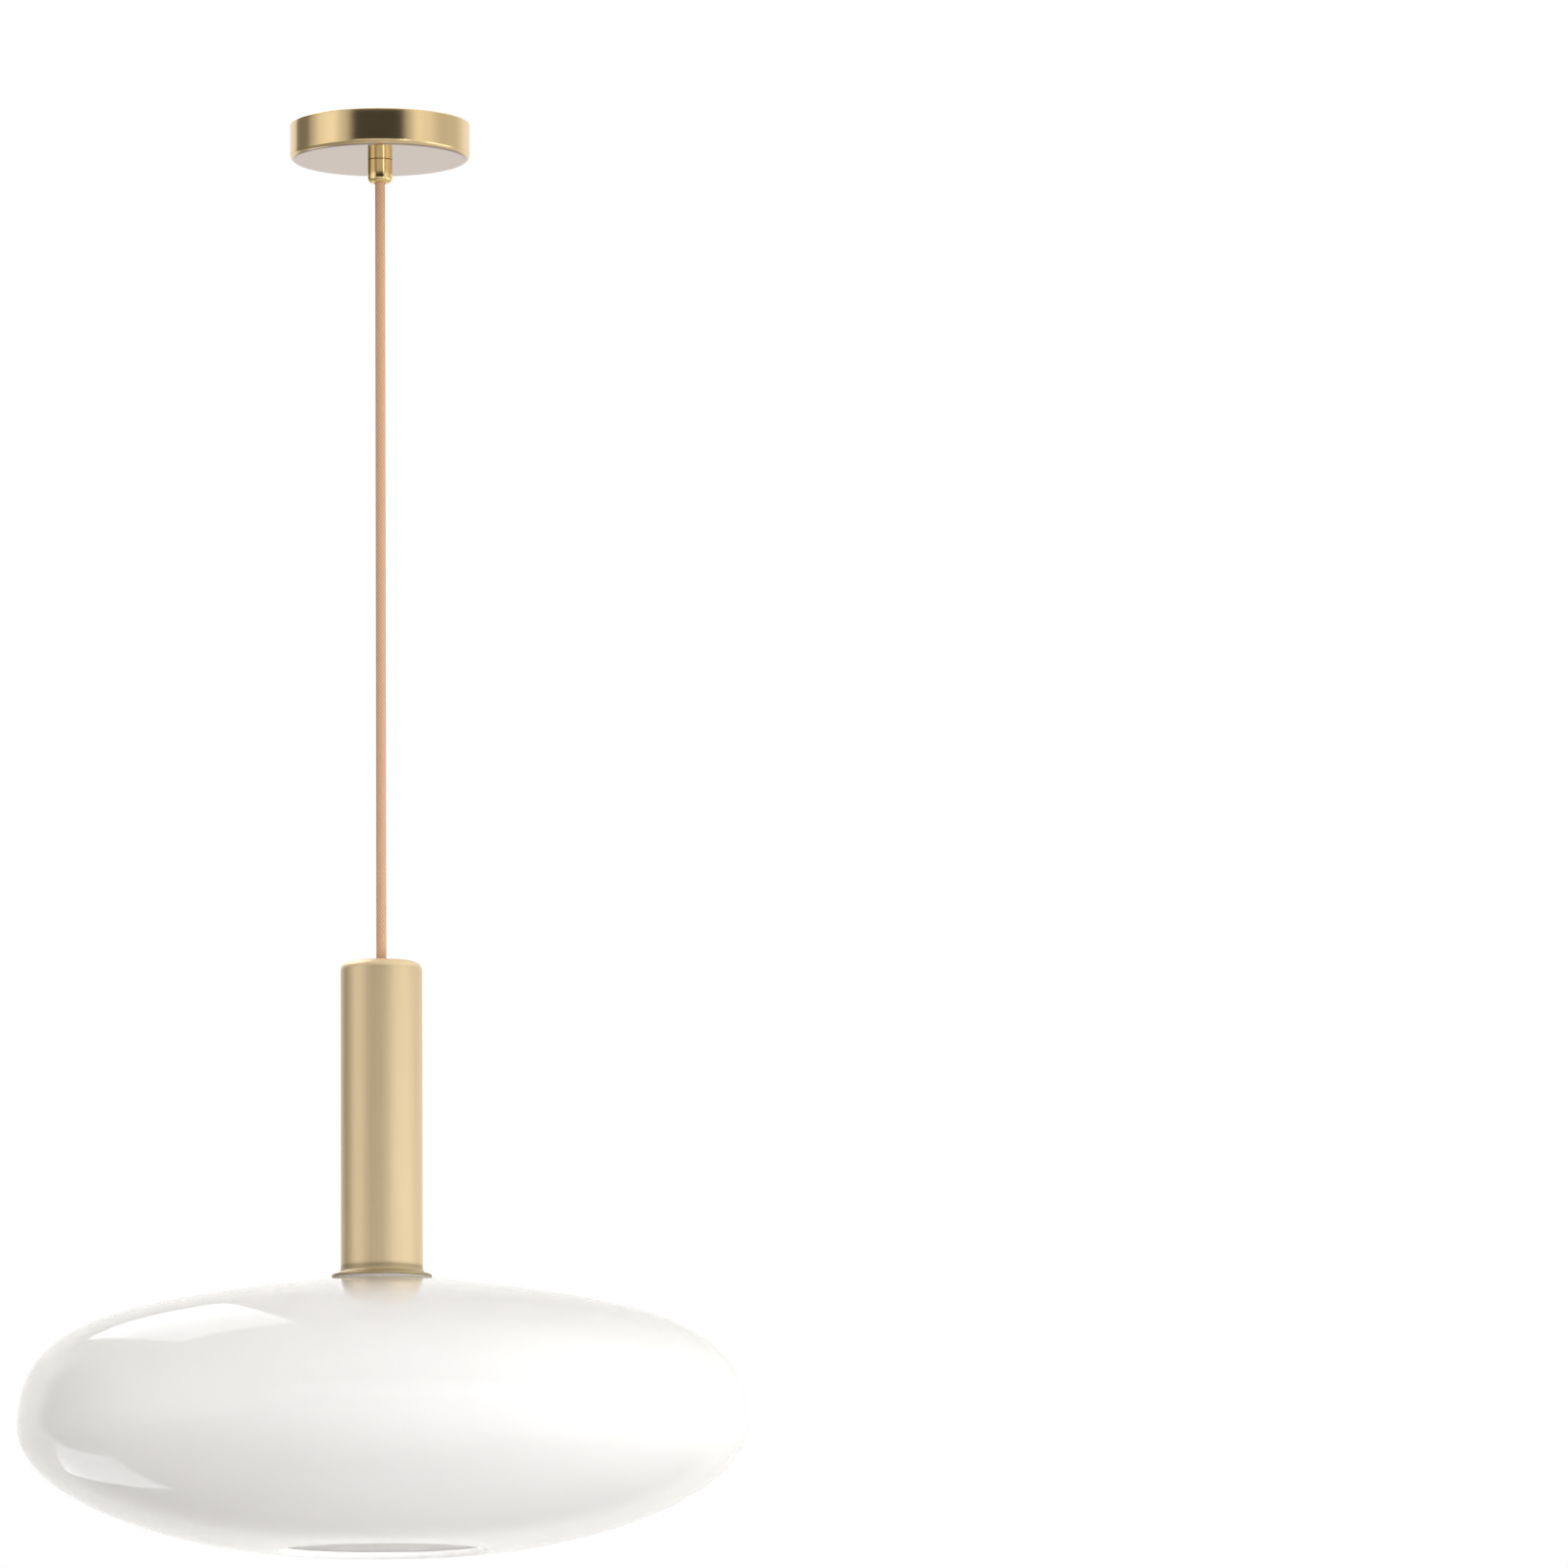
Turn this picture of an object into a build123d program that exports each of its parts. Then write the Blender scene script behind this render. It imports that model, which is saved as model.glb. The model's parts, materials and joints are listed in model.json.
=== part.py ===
from build123d import *
import os

os.makedirs("parts", exist_ok=True)

# Pendant ceiling light. Millimetres, +Z up. The origin is on the lamp's axis in the ceiling plane,
# so the whole lamp hangs below z = 0.

# ---- driving dimensions -------------------------------------------------------------------------
CLEAR = 0.05  # running gap round a part that only lies in a bore

# ceiling fitting
CANOPY_R = 50.0
CANOPY_H = 20.0
CANOPY_WALL = 1.0
CANOPY_EDGE_R = 3.0
SHEET = 1.5  # bracket steel
BEND_R = 0.6  # at the bracket's bends
CORNER_R = 1.5
SADDLE_Z = -13.0  # top face of the bracket's lowered middle
SLOT_X = 33.0  # each ceiling slot's distance from the axis
SLOT_LENGTH = 14.0
SLOT_WIDTH = 4.5

# M10 hollow thread, used in the canopy and again in the lamp head
M10_R = 5.0
M10_BORE_R = 3.6
M10_NUT_AF = 14.0  # across flats
M10_NUT_H = 3.0
M10_FIT = 0.02
M10_CHAMFER = 0.5

# grip and cord
GRIP_R = 7.0
GRIP_BOTTOM = -33.0
GRIP_EDGE_R = 2.9
GRIP_CHAMFER = 0.3
CORD_R = 2.8
CORD_BORE_R = CORD_R + CLEAR
MOUTH_BORE_R = 3.35  # wider, so that the cord can lean
CORE_R = 0.9  # one insulated conductor
LEAD_BEND_R = 2.4

# lamp head
TUBE_TOP = -469.5
TUBE_R = 22.5
TUBE_WALL = 1.0
TUBE_EDGE_R = 5.0
FOOT_R = 27.5
FOOT_BOTTOM = -644.0
FOOT_EDGE_H = 1.6
FOOT_RIM_R = 0.5
FOOT_COVE = (5.0, 4.0)  # width and height of the flared cove
COVE_EASE = 0.35  # the share of each at which the cove's line starts to turn
GASKET_T = 1.0
GASKET_INSET = 0.5  # a gasket's edge stays this far inside the metal's
SHADE_HOLE_R = 21.0
SEAT_R = 28.0
GLASS_T = 3.0
SHADE_R = 200.0
EQUATOR_Z = -726.0
MOUTH_R = 56.5
MOUTH_Z = -794.4
LIP_R = 2.0  # rounded bead round the mouth

# lampholder and bulb
HOLDER_R = 19.5
HOLDER_WALL = 2.0
HOLDER_BOTTOM = -669.5
SOCKET_FLOOR = -641.5  # where the bulb's tip touches
SCREW_R = 13.15  # crest radius of the bulb's cap
BULB_R = 30.0
BULB_LENGTH = 108.0

SEAT_Z = FOOT_BOTTOM - GASKET_T
TUBE_BOTTOM = FOOT_BOTTOM + FOOT_EDGE_H + FOOT_COVE[1]
COVER_T = 2.0  # thickness of the tube's closed top


# ---- helpers ------------------------------------------------------------------------------------
def ring(outer_r, inner_r, top_z, bottom_z):
    """A plain turned ring about the lamp's axis, added to the part being built."""
    with BuildSketch(Plane.XY.offset(bottom_z)) as section:
        Circle(outer_r)
        if inner_r:
            Circle(inner_r, mode=Mode.SUBTRACT)
    extrude(section.sketch, amount=top_z - bottom_z)


def hex_ring(flats, inner_r, top_z, height):
    """A hexagonal nut about the lamp's axis."""
    with BuildSketch(Plane.XY.offset(top_z - height)) as section:
        RegularPolygon(flats / 2, 6, major_radius=False)
        Circle(inner_r, mode=Mode.SUBTRACT)
    extrude(section.sketch, amount=height)


def wire(points, radius, bends):
    """A round conductor along straight runs that are joined by arcs."""
    with BuildLine() as route:
        FilletPolyline(*points, radius=bends)
    with BuildSketch(Plane(origin=route.line @ 0, z_dir=route.line % 0)) as section:
        Circle(radius)
    sweep(section.sketch, path=route.line)


def cross_screw(at, under_head_z, top_z):
    """An M3 screw that stands head down, with a cross slot cut into its head."""
    with BuildSketch(Plane.XY.offset(under_head_z)) as shank:
        with Locations(at):
            Circle(M3_R)
    extrude(shank.sketch, amount=top_z - under_head_z)
    with BuildSketch(Plane.XY.offset(under_head_z)) as head:
        with Locations(at):
            Circle(M3_HEAD_R)
    extrude(head.sketch, amount=-M3_HEAD_H)
    with BuildSketch(Plane.XY.offset(under_head_z - M3_HEAD_H)) as cross:
        with Locations(at):
            Rectangle(M3_CROSS, SLOT_W)
            Rectangle(SLOT_W, M3_CROSS)
    extrude(cross.sketch, amount=SLOT_DEPTH, mode=Mode.SUBTRACT)


def finish(builder, name):
    """Names a finished piece and writes it."""
    builder.part.label = name
    export_step(builder.part, f"parts/{name}.step")


# ---- ceiling bracket ----------------------------------------------------------------------------
PAD_END = 46.0
PAD_START = 17.0
SADDLE_HALF = 14.5
STRAP_W = 18.0
WING = (18.5, 33.0, 33.5)  # near x, far x and far y of the wing over the terminal block
EAR = (22.0, 33.5, -20.0)  # the smaller ear for the earth screw
EARTH_SCREW_AT = (27.5, -14.0)
BLOCK_AT = (24.0, 21.0)
BLOCK_SIZE = (14.0, 22.5, 12.0)
POLE_PITCH = BLOCK_SIZE[1] / 3
BLOCK_SCREW_AT = (BLOCK_AT[0], BLOCK_AT[1] + POLE_PITCH / 2)  # between two poles
M3_R = 1.5
M3_HEAD_R = 2.8
M3_HEAD_H = 1.8
M3_CROSS = 3.4
SLOT_W = 0.7  # every screwdriver slot
SLOT_DEPTH = 0.9

with BuildPart() as mounting_bracket:
    with BuildSketch(Plane.XZ):
        with BuildLine():
            Polyline(
                (-PAD_END, 0),
                (-PAD_START, 0),
                (-SADDLE_HALF + SHEET, SADDLE_Z),
                (SADDLE_HALF - SHEET, SADDLE_Z),
                (PAD_START, 0),
                (PAD_END, 0),
                (PAD_END, -SHEET),
                (PAD_START + SHEET, -SHEET),
                (SADDLE_HALF, SADDLE_Z - SHEET),
                (-SADDLE_HALF, SADDLE_Z - SHEET),
                (-PAD_START - SHEET, -SHEET),
                (-PAD_END, -SHEET),
                close=True,
            )
        make_face()
    extrude(amount=STRAP_W / 2, both=True)
    across = mounting_bracket.edges().filter_by(Axis.Y)
    fillet(across.filter_by(lambda e: abs(e.center().X) < PAD_END - 1), radius=BEND_R)
    with BuildSketch(Plane.XY.offset(-SHEET)):
        for near_x, far_x, far_y in (WING, EAR):
            with Locations(((near_x + far_x) / 2, far_y / 2)):
                Rectangle(far_x - near_x, abs(far_y))
    extrude(amount=SHEET)
    upright = mounting_bracket.edges().filter_by(Axis.Z).filter_by(lambda e: abs(e.length - SHEET) < CLEAR)
    strap_corners = upright.filter_by(lambda e: abs(e.center().X) > PAD_END - 1)
    wing_corners = upright.filter_by(lambda e: abs(e.center().Y) > STRAP_W / 2 + 1)
    fillet(strap_corners + wing_corners, radius=CORNER_R)
    with BuildSketch(Plane.XY):
        with Locations((-SLOT_X, 0), (SLOT_X, 0)):
            SlotOverall(SLOT_LENGTH, SLOT_WIDTH)
        with Locations(BLOCK_SCREW_AT):
            Circle(M3_R + CLEAR)
        with Locations(EARTH_SCREW_AT):
            Circle(M3_R + CLEAR)
    extrude(amount=-SHEET, mode=Mode.SUBTRACT)
    with BuildSketch(Plane.XY.offset(SADDLE_Z)):
        Circle(M10_R + M10_FIT)
    extrude(amount=-SHEET, mode=Mode.SUBTRACT)
finish(mounting_bracket, "mounting_bracket")

# ---- hollow stem that carries grip and canopy -----------------------------------------------------
NIPPLE_TOP = -9.0
NIPPLE_BOTTOM = -26.5

with BuildPart() as threaded_nipple:
    ring(M10_R, M10_BORE_R, NIPPLE_TOP, NIPPLE_BOTTOM)
    rims = threaded_nipple.edges().filter_by(GeomType.CIRCLE)
    chamfer(rims.filter_by(lambda e: e.radius > M10_BORE_R + 1), M10_CHAMFER)
finish(threaded_nipple, "threaded_nipple")

with BuildPart() as nipple_nuts:
    for nut_top in (SADDLE_Z + M10_NUT_H, SADDLE_Z - SHEET):
        hex_ring(M10_NUT_AF, M10_R + M10_FIT, nut_top, M10_NUT_H)
finish(nipple_nuts, "nipple_nuts")

# ---- canopy cup -----------------------------------------------------------------------------------
with BuildPart() as canopy_cup:
    ring(CANOPY_R, 0, 0, -CANOPY_H)
    fillet(canopy_cup.edges().filter_by(GeomType.CIRCLE).sort_by(Axis.Z)[0], CANOPY_EDGE_R)
    offset(amount=-CANOPY_WALL, openings=canopy_cup.faces().sort_by(Axis.Z)[-1])
    with BuildSketch(Plane.XY.offset(-CANOPY_H)):
        Circle(M10_R + CLEAR)
    extrude(amount=CANOPY_WALL, mode=Mode.SUBTRACT)
finish(canopy_cup, "canopy_cup")

# ---- cord grip under the canopy -------------------------------------------------------------------
MOUTH_DEPTH = 2.9  # the leaning end of the cord turns in this much of the bore
GRIP_NECK = GRIP_BOTTOM + MOUTH_DEPTH
GRIP_SCREW_Z = (NIPPLE_BOTTOM + GRIP_NECK) / 2
GRIP_SCREW_R = 1.25
GRIP_SCREW_SINK = 0.15  # its outer end lies this far inside the grip's wall
HEX_R = 0.6
HEX_DEPTH = 1.2

with BuildPart() as cord_grip:
    ring(GRIP_R, 0, -CANOPY_H, GRIP_BOTTOM)
    fillet(cord_grip.edges().filter_by(GeomType.CIRCLE).sort_by(Axis.Z)[0], GRIP_EDGE_R)
    chamfer(cord_grip.edges().filter_by(GeomType.CIRCLE).sort_by(Axis.Z)[-1], GRIP_CHAMFER)
    for bore_r, top_z, bottom_z in (
        (M10_R + M10_FIT, -CANOPY_H, NIPPLE_BOTTOM),
        (CORD_BORE_R, NIPPLE_BOTTOM, GRIP_NECK),
        (MOUTH_BORE_R, GRIP_NECK, GRIP_BOTTOM),
    ):
        with BuildSketch(Plane.XY.offset(bottom_z)):
            Circle(bore_r)
        extrude(amount=top_z - bottom_z, mode=Mode.SUBTRACT)
    with BuildSketch(Plane.XZ.offset(-GRIP_R)):
        with Locations((0, GRIP_SCREW_Z)):
            Circle(GRIP_SCREW_R + CLEAR)
    extrude(amount=GRIP_R, mode=Mode.SUBTRACT)
finish(cord_grip, "cord_grip")

with BuildPart() as grip_screw:
    with BuildSketch(Plane.XZ.offset(-CORD_BORE_R)):
        with Locations((0, GRIP_SCREW_Z)):
            Circle(GRIP_SCREW_R)
    extrude(amount=CORD_BORE_R - GRIP_R + GRIP_SCREW_SINK)
    with BuildSketch(Plane.XZ.offset(GRIP_SCREW_SINK - GRIP_R)):
        with Locations((0, GRIP_SCREW_Z)):
            RegularPolygon(HEX_R, 6)
    extrude(amount=HEX_DEPTH, mode=Mode.SUBTRACT)
finish(grip_screw, "grip_screw")

# ---- cord: the held stretch above, the free stretch, the held stretch below ----------------------------
SWING_Z = GRIP_BOTTOM  # the cord leans about this point
TILT_Z = TUBE_TOP  # and the lamp head tilts about this one
TAIL_TOP = -8.5
TAIL_GAP = 0.1

with BuildPart() as cord_tail_top:
    ring(CORD_R, 0, TAIL_TOP, SWING_Z + CORD_R + TAIL_GAP)
finish(cord_tail_top, "cord_tail_top")

# A straight run from mouth to mouth. Its ends are round, so that it can lean in both bores.
CORD_ROUTE = ((0, 0, SWING_Z), (0, 0, TILT_Z))
with BuildPart() as cord:
    with BuildLine() as cord_line:
        Line(*CORD_ROUTE)
    with BuildSketch(Plane(origin=CORD_ROUTE[0], z_dir=(0, 0, -1))):
        Circle(CORD_R)
    sweep(path=cord_line.line)
    with Locations(*CORD_ROUTE):
        Sphere(CORD_R)
finish(cord, "cord")
print("cord length", sum(edge.length for edge in cord_line.edges()), "volume", round(cord.part.volume))

# ---- terminal block, its screws and the leads in the canopy -----------------------------------------
LEAD_Z = -4.5
ENTRY_R = 1.6
BLOCK_TOP = -SHEET
BLOCK_NEAR_X = BLOCK_AT[0] - BLOCK_SIZE[0] / 2
BLOCK_FAR_X = BLOCK_AT[0] + BLOCK_SIZE[0] / 2
BLOCK_BOTTOM = BLOCK_TOP - BLOCK_SIZE[2]
BLOCK_EDGE_R = 1.0
BLOCK_GROOVE = (1.2, 4.5)  # width and depth between two poles
POLES_Y = [BLOCK_AT[1] + i * POLE_PITCH for i in (-1, 0, 1)]
CLAMP_INSET = 4.0
CLAMP_AT = [(x, y) for y in POLES_Y for x in (BLOCK_NEAR_X + CLAMP_INSET, BLOCK_FAR_X - CLAMP_INSET)]
CLAMP_R = 1.6
CLAMP_DEPTH = 7.0
CLAMP_SINK = 1.5  # a clamp screw's head lies this deep in its hole
CLAMP_SCREW_H = 4.0

with BuildPart() as terminal_block:
    with Locations((BLOCK_AT[0], BLOCK_AT[1], BLOCK_TOP - BLOCK_SIZE[2] / 2)):
        Box(*BLOCK_SIZE)
    fillet(terminal_block.edges().filter_by(Axis.Z), BLOCK_EDGE_R)
    with BuildSketch(Plane.XY.offset(BLOCK_BOTTOM)):
        for y in POLES_Y[:-1]:
            with Locations((BLOCK_AT[0], y + POLE_PITCH / 2)):
                Rectangle(BLOCK_SIZE[0], BLOCK_GROOVE[0])
    extrude(amount=BLOCK_GROOVE[1], mode=Mode.SUBTRACT)
    with BuildSketch(Plane.YZ.offset(BLOCK_NEAR_X)):
        for y in POLES_Y:
            with Locations((y, LEAD_Z)):
                Circle(ENTRY_R)
    extrude(amount=BLOCK_SIZE[0], mode=Mode.SUBTRACT)
    with BuildSketch(Plane.XY.offset(BLOCK_BOTTOM)):
        with Locations(*CLAMP_AT):
            Circle(CLAMP_R + CLEAR)
    extrude(amount=CLAMP_DEPTH, mode=Mode.SUBTRACT)
    with BuildSketch(Plane.XY.offset(BLOCK_TOP)):
        with Locations(BLOCK_SCREW_AT):
            Circle(M3_R + CLEAR)
    extrude(amount=-BLOCK_SIZE[2], mode=Mode.SUBTRACT)
finish(terminal_block, "terminal_block")

with BuildPart() as terminal_screws:
    with BuildSketch(Plane.XY.offset(BLOCK_BOTTOM + CLAMP_SINK)):
        with Locations(*CLAMP_AT):
            Circle(CLAMP_R)
    extrude(amount=CLAMP_SCREW_H)
    with BuildSketch(Plane.XY.offset(BLOCK_BOTTOM + CLAMP_SINK)):
        with Locations(*CLAMP_AT):
            Rectangle(2 * CLAMP_R, SLOT_W)
    extrude(amount=SLOT_DEPTH, mode=Mode.SUBTRACT)
finish(terminal_screws, "terminal_screws")

with BuildPart() as block_screw:
    cross_screw(BLOCK_SCREW_AT, BLOCK_BOTTOM, 0)
finish(block_screw, "block_screw")

LEAD_GRIP = 2.8  # how far a lead goes into the block
LEAD_END_X = BLOCK_NEAR_X + LEAD_GRIP
LEAD_ROUTES = {
    "live_lead": [(-1.55, 0), (1.0, 17.0), (9.0, POLES_Y[2]), (LEAD_END_X, POLES_Y[2])],
    "neutral_lead": [(0.78, 1.34), (9.0, POLES_Y[1]), (LEAD_END_X, POLES_Y[1])],
    "earth_lead": [(0.78, -1.34), (9.5, 2.0), (12.5, POLES_Y[0]), (LEAD_END_X, POLES_Y[0])],
}
for lead_name, plan in LEAD_ROUTES.items():
    with BuildPart() as lead:
        rise = (*plan[0], TAIL_TOP)
        wire([rise, *[(x, y, LEAD_Z) for x, y in plan]], CORE_R, LEAD_BEND_R)
    finish(lead, lead_name)

LUG_R = 3.6
LUG_T = 0.8
CRIMP_AT = EARTH_SCREW_AT[0] + 4.5  # x of the crimp that joins lug and wire
CRIMP = (3.0, 2.6)
JUMPER_X = 41.3
JUMPER_BEND_R = 3.0
with BuildPart() as earth_jumper:
    wire(
        [
            (BLOCK_FAR_X - LEAD_GRIP, POLES_Y[0], LEAD_Z),
            (JUMPER_X, POLES_Y[0], LEAD_Z),
            (JUMPER_X, EARTH_SCREW_AT[1], LEAD_Z),
            (CRIMP_AT - 1, EARTH_SCREW_AT[1], LEAD_Z),
        ],
        CORE_R,
        JUMPER_BEND_R,
    )
    crimp_low = LEAD_Z - CRIMP[1] / 2
    with Locations((CRIMP_AT, EARTH_SCREW_AT[1], (crimp_low - SHEET) / 2)):
        Box(*CRIMP, -SHEET - crimp_low)
    with BuildSketch(Plane.XY.offset(-SHEET - LUG_T)):
        with Locations(EARTH_SCREW_AT):
            Circle(LUG_R)
            Circle(M3_R + CLEAR, mode=Mode.SUBTRACT)
    extrude(amount=LUG_T)
finish(earth_jumper, "earth_jumper")

with BuildPart() as earth_screw:
    cross_screw(EARTH_SCREW_AT, -SHEET - LUG_T, 0)
finish(earth_screw, "earth_screw")

# ---- tube cover and its flared foot -----------------------------------------------------------------
with BuildPart() as tube_cover:
    ring(TUBE_R, 0, TUBE_TOP, TUBE_BOTTOM)
    fillet(tube_cover.edges().filter_by(GeomType.CIRCLE).sort_by(Axis.Z)[-1], TUBE_EDGE_R)
    offset(amount=-TUBE_WALL, openings=tube_cover.faces().sort_by(Axis.Z)[0])
    ring(TUBE_R - TUBE_EDGE_R, 0, TUBE_TOP - TUBE_WALL / 2, TUBE_TOP - COVER_T)
    with BuildSketch(Plane.XY.offset(TUBE_TOP)):
        Circle(M10_R + M10_FIT)
    extrude(amount=-COVER_T, mode=Mode.SUBTRACT)
finish(tube_cover, "tube_cover")

SPIGOT_H = 6.0
SPIGOT_R = TUBE_R - TUBE_WALL - CLEAR
FOOT_BORE_R = HOLDER_R + 0.5
EDGE_TOP = FOOT_BOTTOM + FOOT_EDGE_H
with BuildPart() as flange_ring:
    with BuildSketch(Plane.XZ):
        with BuildLine():
            Polyline(
                (TUBE_R, TUBE_BOTTOM),
                (SPIGOT_R, TUBE_BOTTOM),
                (SPIGOT_R, TUBE_BOTTOM + SPIGOT_H),
                (FOOT_BORE_R, TUBE_BOTTOM + SPIGOT_H),
                (FOOT_BORE_R, FOOT_BOTTOM),
                (FOOT_R, FOOT_BOTTOM),
                (FOOT_R, EDGE_TOP),
            )
            Bezier(
                (FOOT_R, EDGE_TOP),
                (TUBE_R + COVE_EASE * FOOT_COVE[0], EDGE_TOP),
                (TUBE_R, EDGE_TOP + COVE_EASE * FOOT_COVE[1]),
                (TUBE_R, TUBE_BOTTOM),
            )
        make_face()
    revolve(axis=Axis.Z)
    foot_rims = flange_ring.edges().filter_by(GeomType.CIRCLE).filter_by(lambda e: e.radius > FOOT_R - CLEAR)
    fillet(foot_rims, FOOT_RIM_R)
finish(flange_ring, "flange_ring")

# ---- hollow rod, its nuts, the bushing and the held cord ----------------------------------------------
ROD_TOP = TUBE_TOP - 0.6
NECK_TOP = -582.0
NECK_BOTTOM = -590.0
BUSHING_BOTTOM = TUBE_TOP - 10.0
BUSHING_MOUTH = TUBE_TOP - MOUTH_DEPTH

with BuildPart() as stem_rod:
    ring(M10_R, M10_BORE_R, ROD_TOP, NECK_BOTTOM)
finish(stem_rod, "stem_rod")

with BuildPart() as stem_nuts:
    for nut_top in (TUBE_TOP - COVER_T, NECK_TOP + M10_NUT_H):
        hex_ring(M10_NUT_AF, M10_R + M10_FIT, nut_top, M10_NUT_H)
finish(stem_nuts, "stem_nuts")

with BuildPart() as cord_bushing:
    ring(M10_R - CLEAR, 0, TUBE_TOP, ROD_TOP)
    ring(M10_BORE_R - M10_FIT, 0, ROD_TOP, BUSHING_BOTTOM)
    for bore_r, top_z, bottom_z in (
        (MOUTH_BORE_R, TUBE_TOP, BUSHING_MOUTH),
        (CORD_BORE_R, BUSHING_MOUTH, BUSHING_BOTTOM),
    ):
        with BuildSketch(Plane.XY.offset(bottom_z)):
            Circle(bore_r)
        extrude(amount=top_z - bottom_z, mode=Mode.SUBTRACT)
finish(cord_bushing, "cord_bushing")

STOP_TOP = NECK_BOTTOM - HOLDER_WALL - 2 * CLEAR
STOP_H = 7.0
STOP_R = 7.0
STOP_SLIT = 0.8
TAIL_PAST = 3.0  # the sleeve ends this far below the stop
TAIL_BOTTOM = STOP_TOP - STOP_H - TAIL_PAST
with BuildPart() as cord_tail_lamp:
    ring(CORD_R, 0, TILT_Z - CORD_R - TAIL_GAP, TAIL_BOTTOM)
finish(cord_tail_lamp, "cord_tail_lamp")

# A split collar under the rod keeps the cord from being pulled up.
with BuildPart() as cord_stop:
    ring(STOP_R, CORD_BORE_R, STOP_TOP, STOP_TOP - STOP_H)
    with BuildSketch(Plane.XY.offset(STOP_TOP)):
        with Locations((STOP_R / 2, 0)):
            Rectangle(STOP_R, STOP_SLIT)
    extrude(amount=-STOP_H, mode=Mode.SUBTRACT)
finish(cord_stop, "cord_stop")

# ---- lampholder ---------------------------------------------------------------------------------------
CAP_NECK_R = 8.5  # the collar that the rod screws into
DOME_TOP = NECK_BOTTOM - 14.0  # below this the cap is a plain ring
DOME_BOTTOM = -612.0
DOME_REACH = (7.0, 8.0)  # how far the dome's outer line runs flat, and how far upright
DOME_REACH_IN = (6.0, 7.0)
CORE_TOP = -617.0
CORE_OUT_R = HOLDER_R - HOLDER_WALL - 2 * CLEAR
SOCKET_R = SCREW_R + 0.2
SOCKET_WALL = 0.6
SOCKET_BOTTOM = HOLDER_BOTTOM + 4.0
SOCKET_ROOM = 5.0  # above the bulb's tip, for the sprung contact

with BuildPart() as holder_cap:
    cap_in_r = HOLDER_R - HOLDER_WALL
    cap_in_z = NECK_BOTTOM - HOLDER_WALL
    with BuildSketch(Plane.XZ):
        with BuildLine():
            Polyline(
                (M10_R + M10_FIT, cap_in_z),
                (M10_R + M10_FIT, NECK_TOP),
                (CAP_NECK_R, NECK_TOP),
                (CAP_NECK_R, NECK_BOTTOM),
            )
            Bezier(
                (CAP_NECK_R, NECK_BOTTOM),
                (CAP_NECK_R + DOME_REACH[0], NECK_BOTTOM),
                (HOLDER_R, DOME_TOP + DOME_REACH[1]),
                (HOLDER_R, DOME_TOP),
            )
            Polyline(
                (HOLDER_R, DOME_TOP),
                (HOLDER_R, DOME_BOTTOM),
                (cap_in_r, DOME_BOTTOM),
                (cap_in_r, DOME_TOP),
            )
            Bezier(
                (cap_in_r, DOME_TOP),
                (cap_in_r, DOME_TOP + DOME_REACH_IN[1]),
                (CAP_NECK_R + DOME_REACH_IN[0], cap_in_z),
                (CAP_NECK_R, cap_in_z),
            )
            Line((CAP_NECK_R, cap_in_z), (M10_R + M10_FIT, cap_in_z))
        make_face()
    revolve(axis=Axis.Z)
finish(holder_cap, "holder_cap")

# Rounded ridges stand in for the coarse outer thread that the shade ring runs on.
THREAD_PITCH = 3.0
GROOVE = (0.45, 0.9)  # depth and half height
THREAD_TOP = FOOT_BOTTOM - 6.0
with BuildPart() as holder_shell:
    ring(HOLDER_R, HOLDER_R - HOLDER_WALL, DOME_BOTTOM, HOLDER_BOTTOM)
    turns = int((THREAD_TOP - HOLDER_BOTTOM) / THREAD_PITCH)
    for turn in range(turns):
        groove_z = THREAD_TOP - turn * THREAD_PITCH
        with BuildSketch(Plane.XZ):
            with Locations((HOLDER_R, groove_z)):
                Ellipse(*GROOVE)
        revolve(axis=Axis.Z, mode=Mode.SUBTRACT)
finish(holder_shell, "holder_shell")

TERMINAL_X = 9.5
TERMINAL_DEPTH = 6.0
TERMINAL_AT = ((-TERMINAL_X, 0), (TERMINAL_X, 0))
CORE_HOLE_Y = 4.5  # each conductor goes in beside its screw
TERMINAL_HEAD = (2.6, 1.6)  # radius and height
with BuildPart() as holder_core:
    ring(CORE_OUT_R, 0, CORE_TOP, SOCKET_BOTTOM)
    with BuildSketch(Plane.XY.offset(SOCKET_BOTTOM)):
        Circle(SOCKET_R + SOCKET_WALL + CLEAR)
    extrude(amount=SOCKET_FLOOR + SOCKET_ROOM - SOCKET_BOTTOM, mode=Mode.SUBTRACT)
    with BuildSketch(Plane.XY.offset(CORE_TOP)):
        with Locations(*TERMINAL_AT):
            Circle(M3_R + CLEAR)
        with Locations((-TERMINAL_X, CORE_HOLE_Y), (TERMINAL_X, CORE_HOLE_Y)):
            Circle(CORE_R + CLEAR)
    extrude(amount=-TERMINAL_DEPTH, mode=Mode.SUBTRACT)
finish(holder_core, "holder_core")

SHELL_TOP = SOCKET_FLOOR + 3.0
SHELL_BOTTOM = SOCKET_BOTTOM + 0.5
with BuildPart() as screw_shell:
    ring(SOCKET_R + SOCKET_WALL, SOCKET_R, SHELL_TOP, SHELL_BOTTOM)
finish(screw_shell, "screw_shell")

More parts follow.
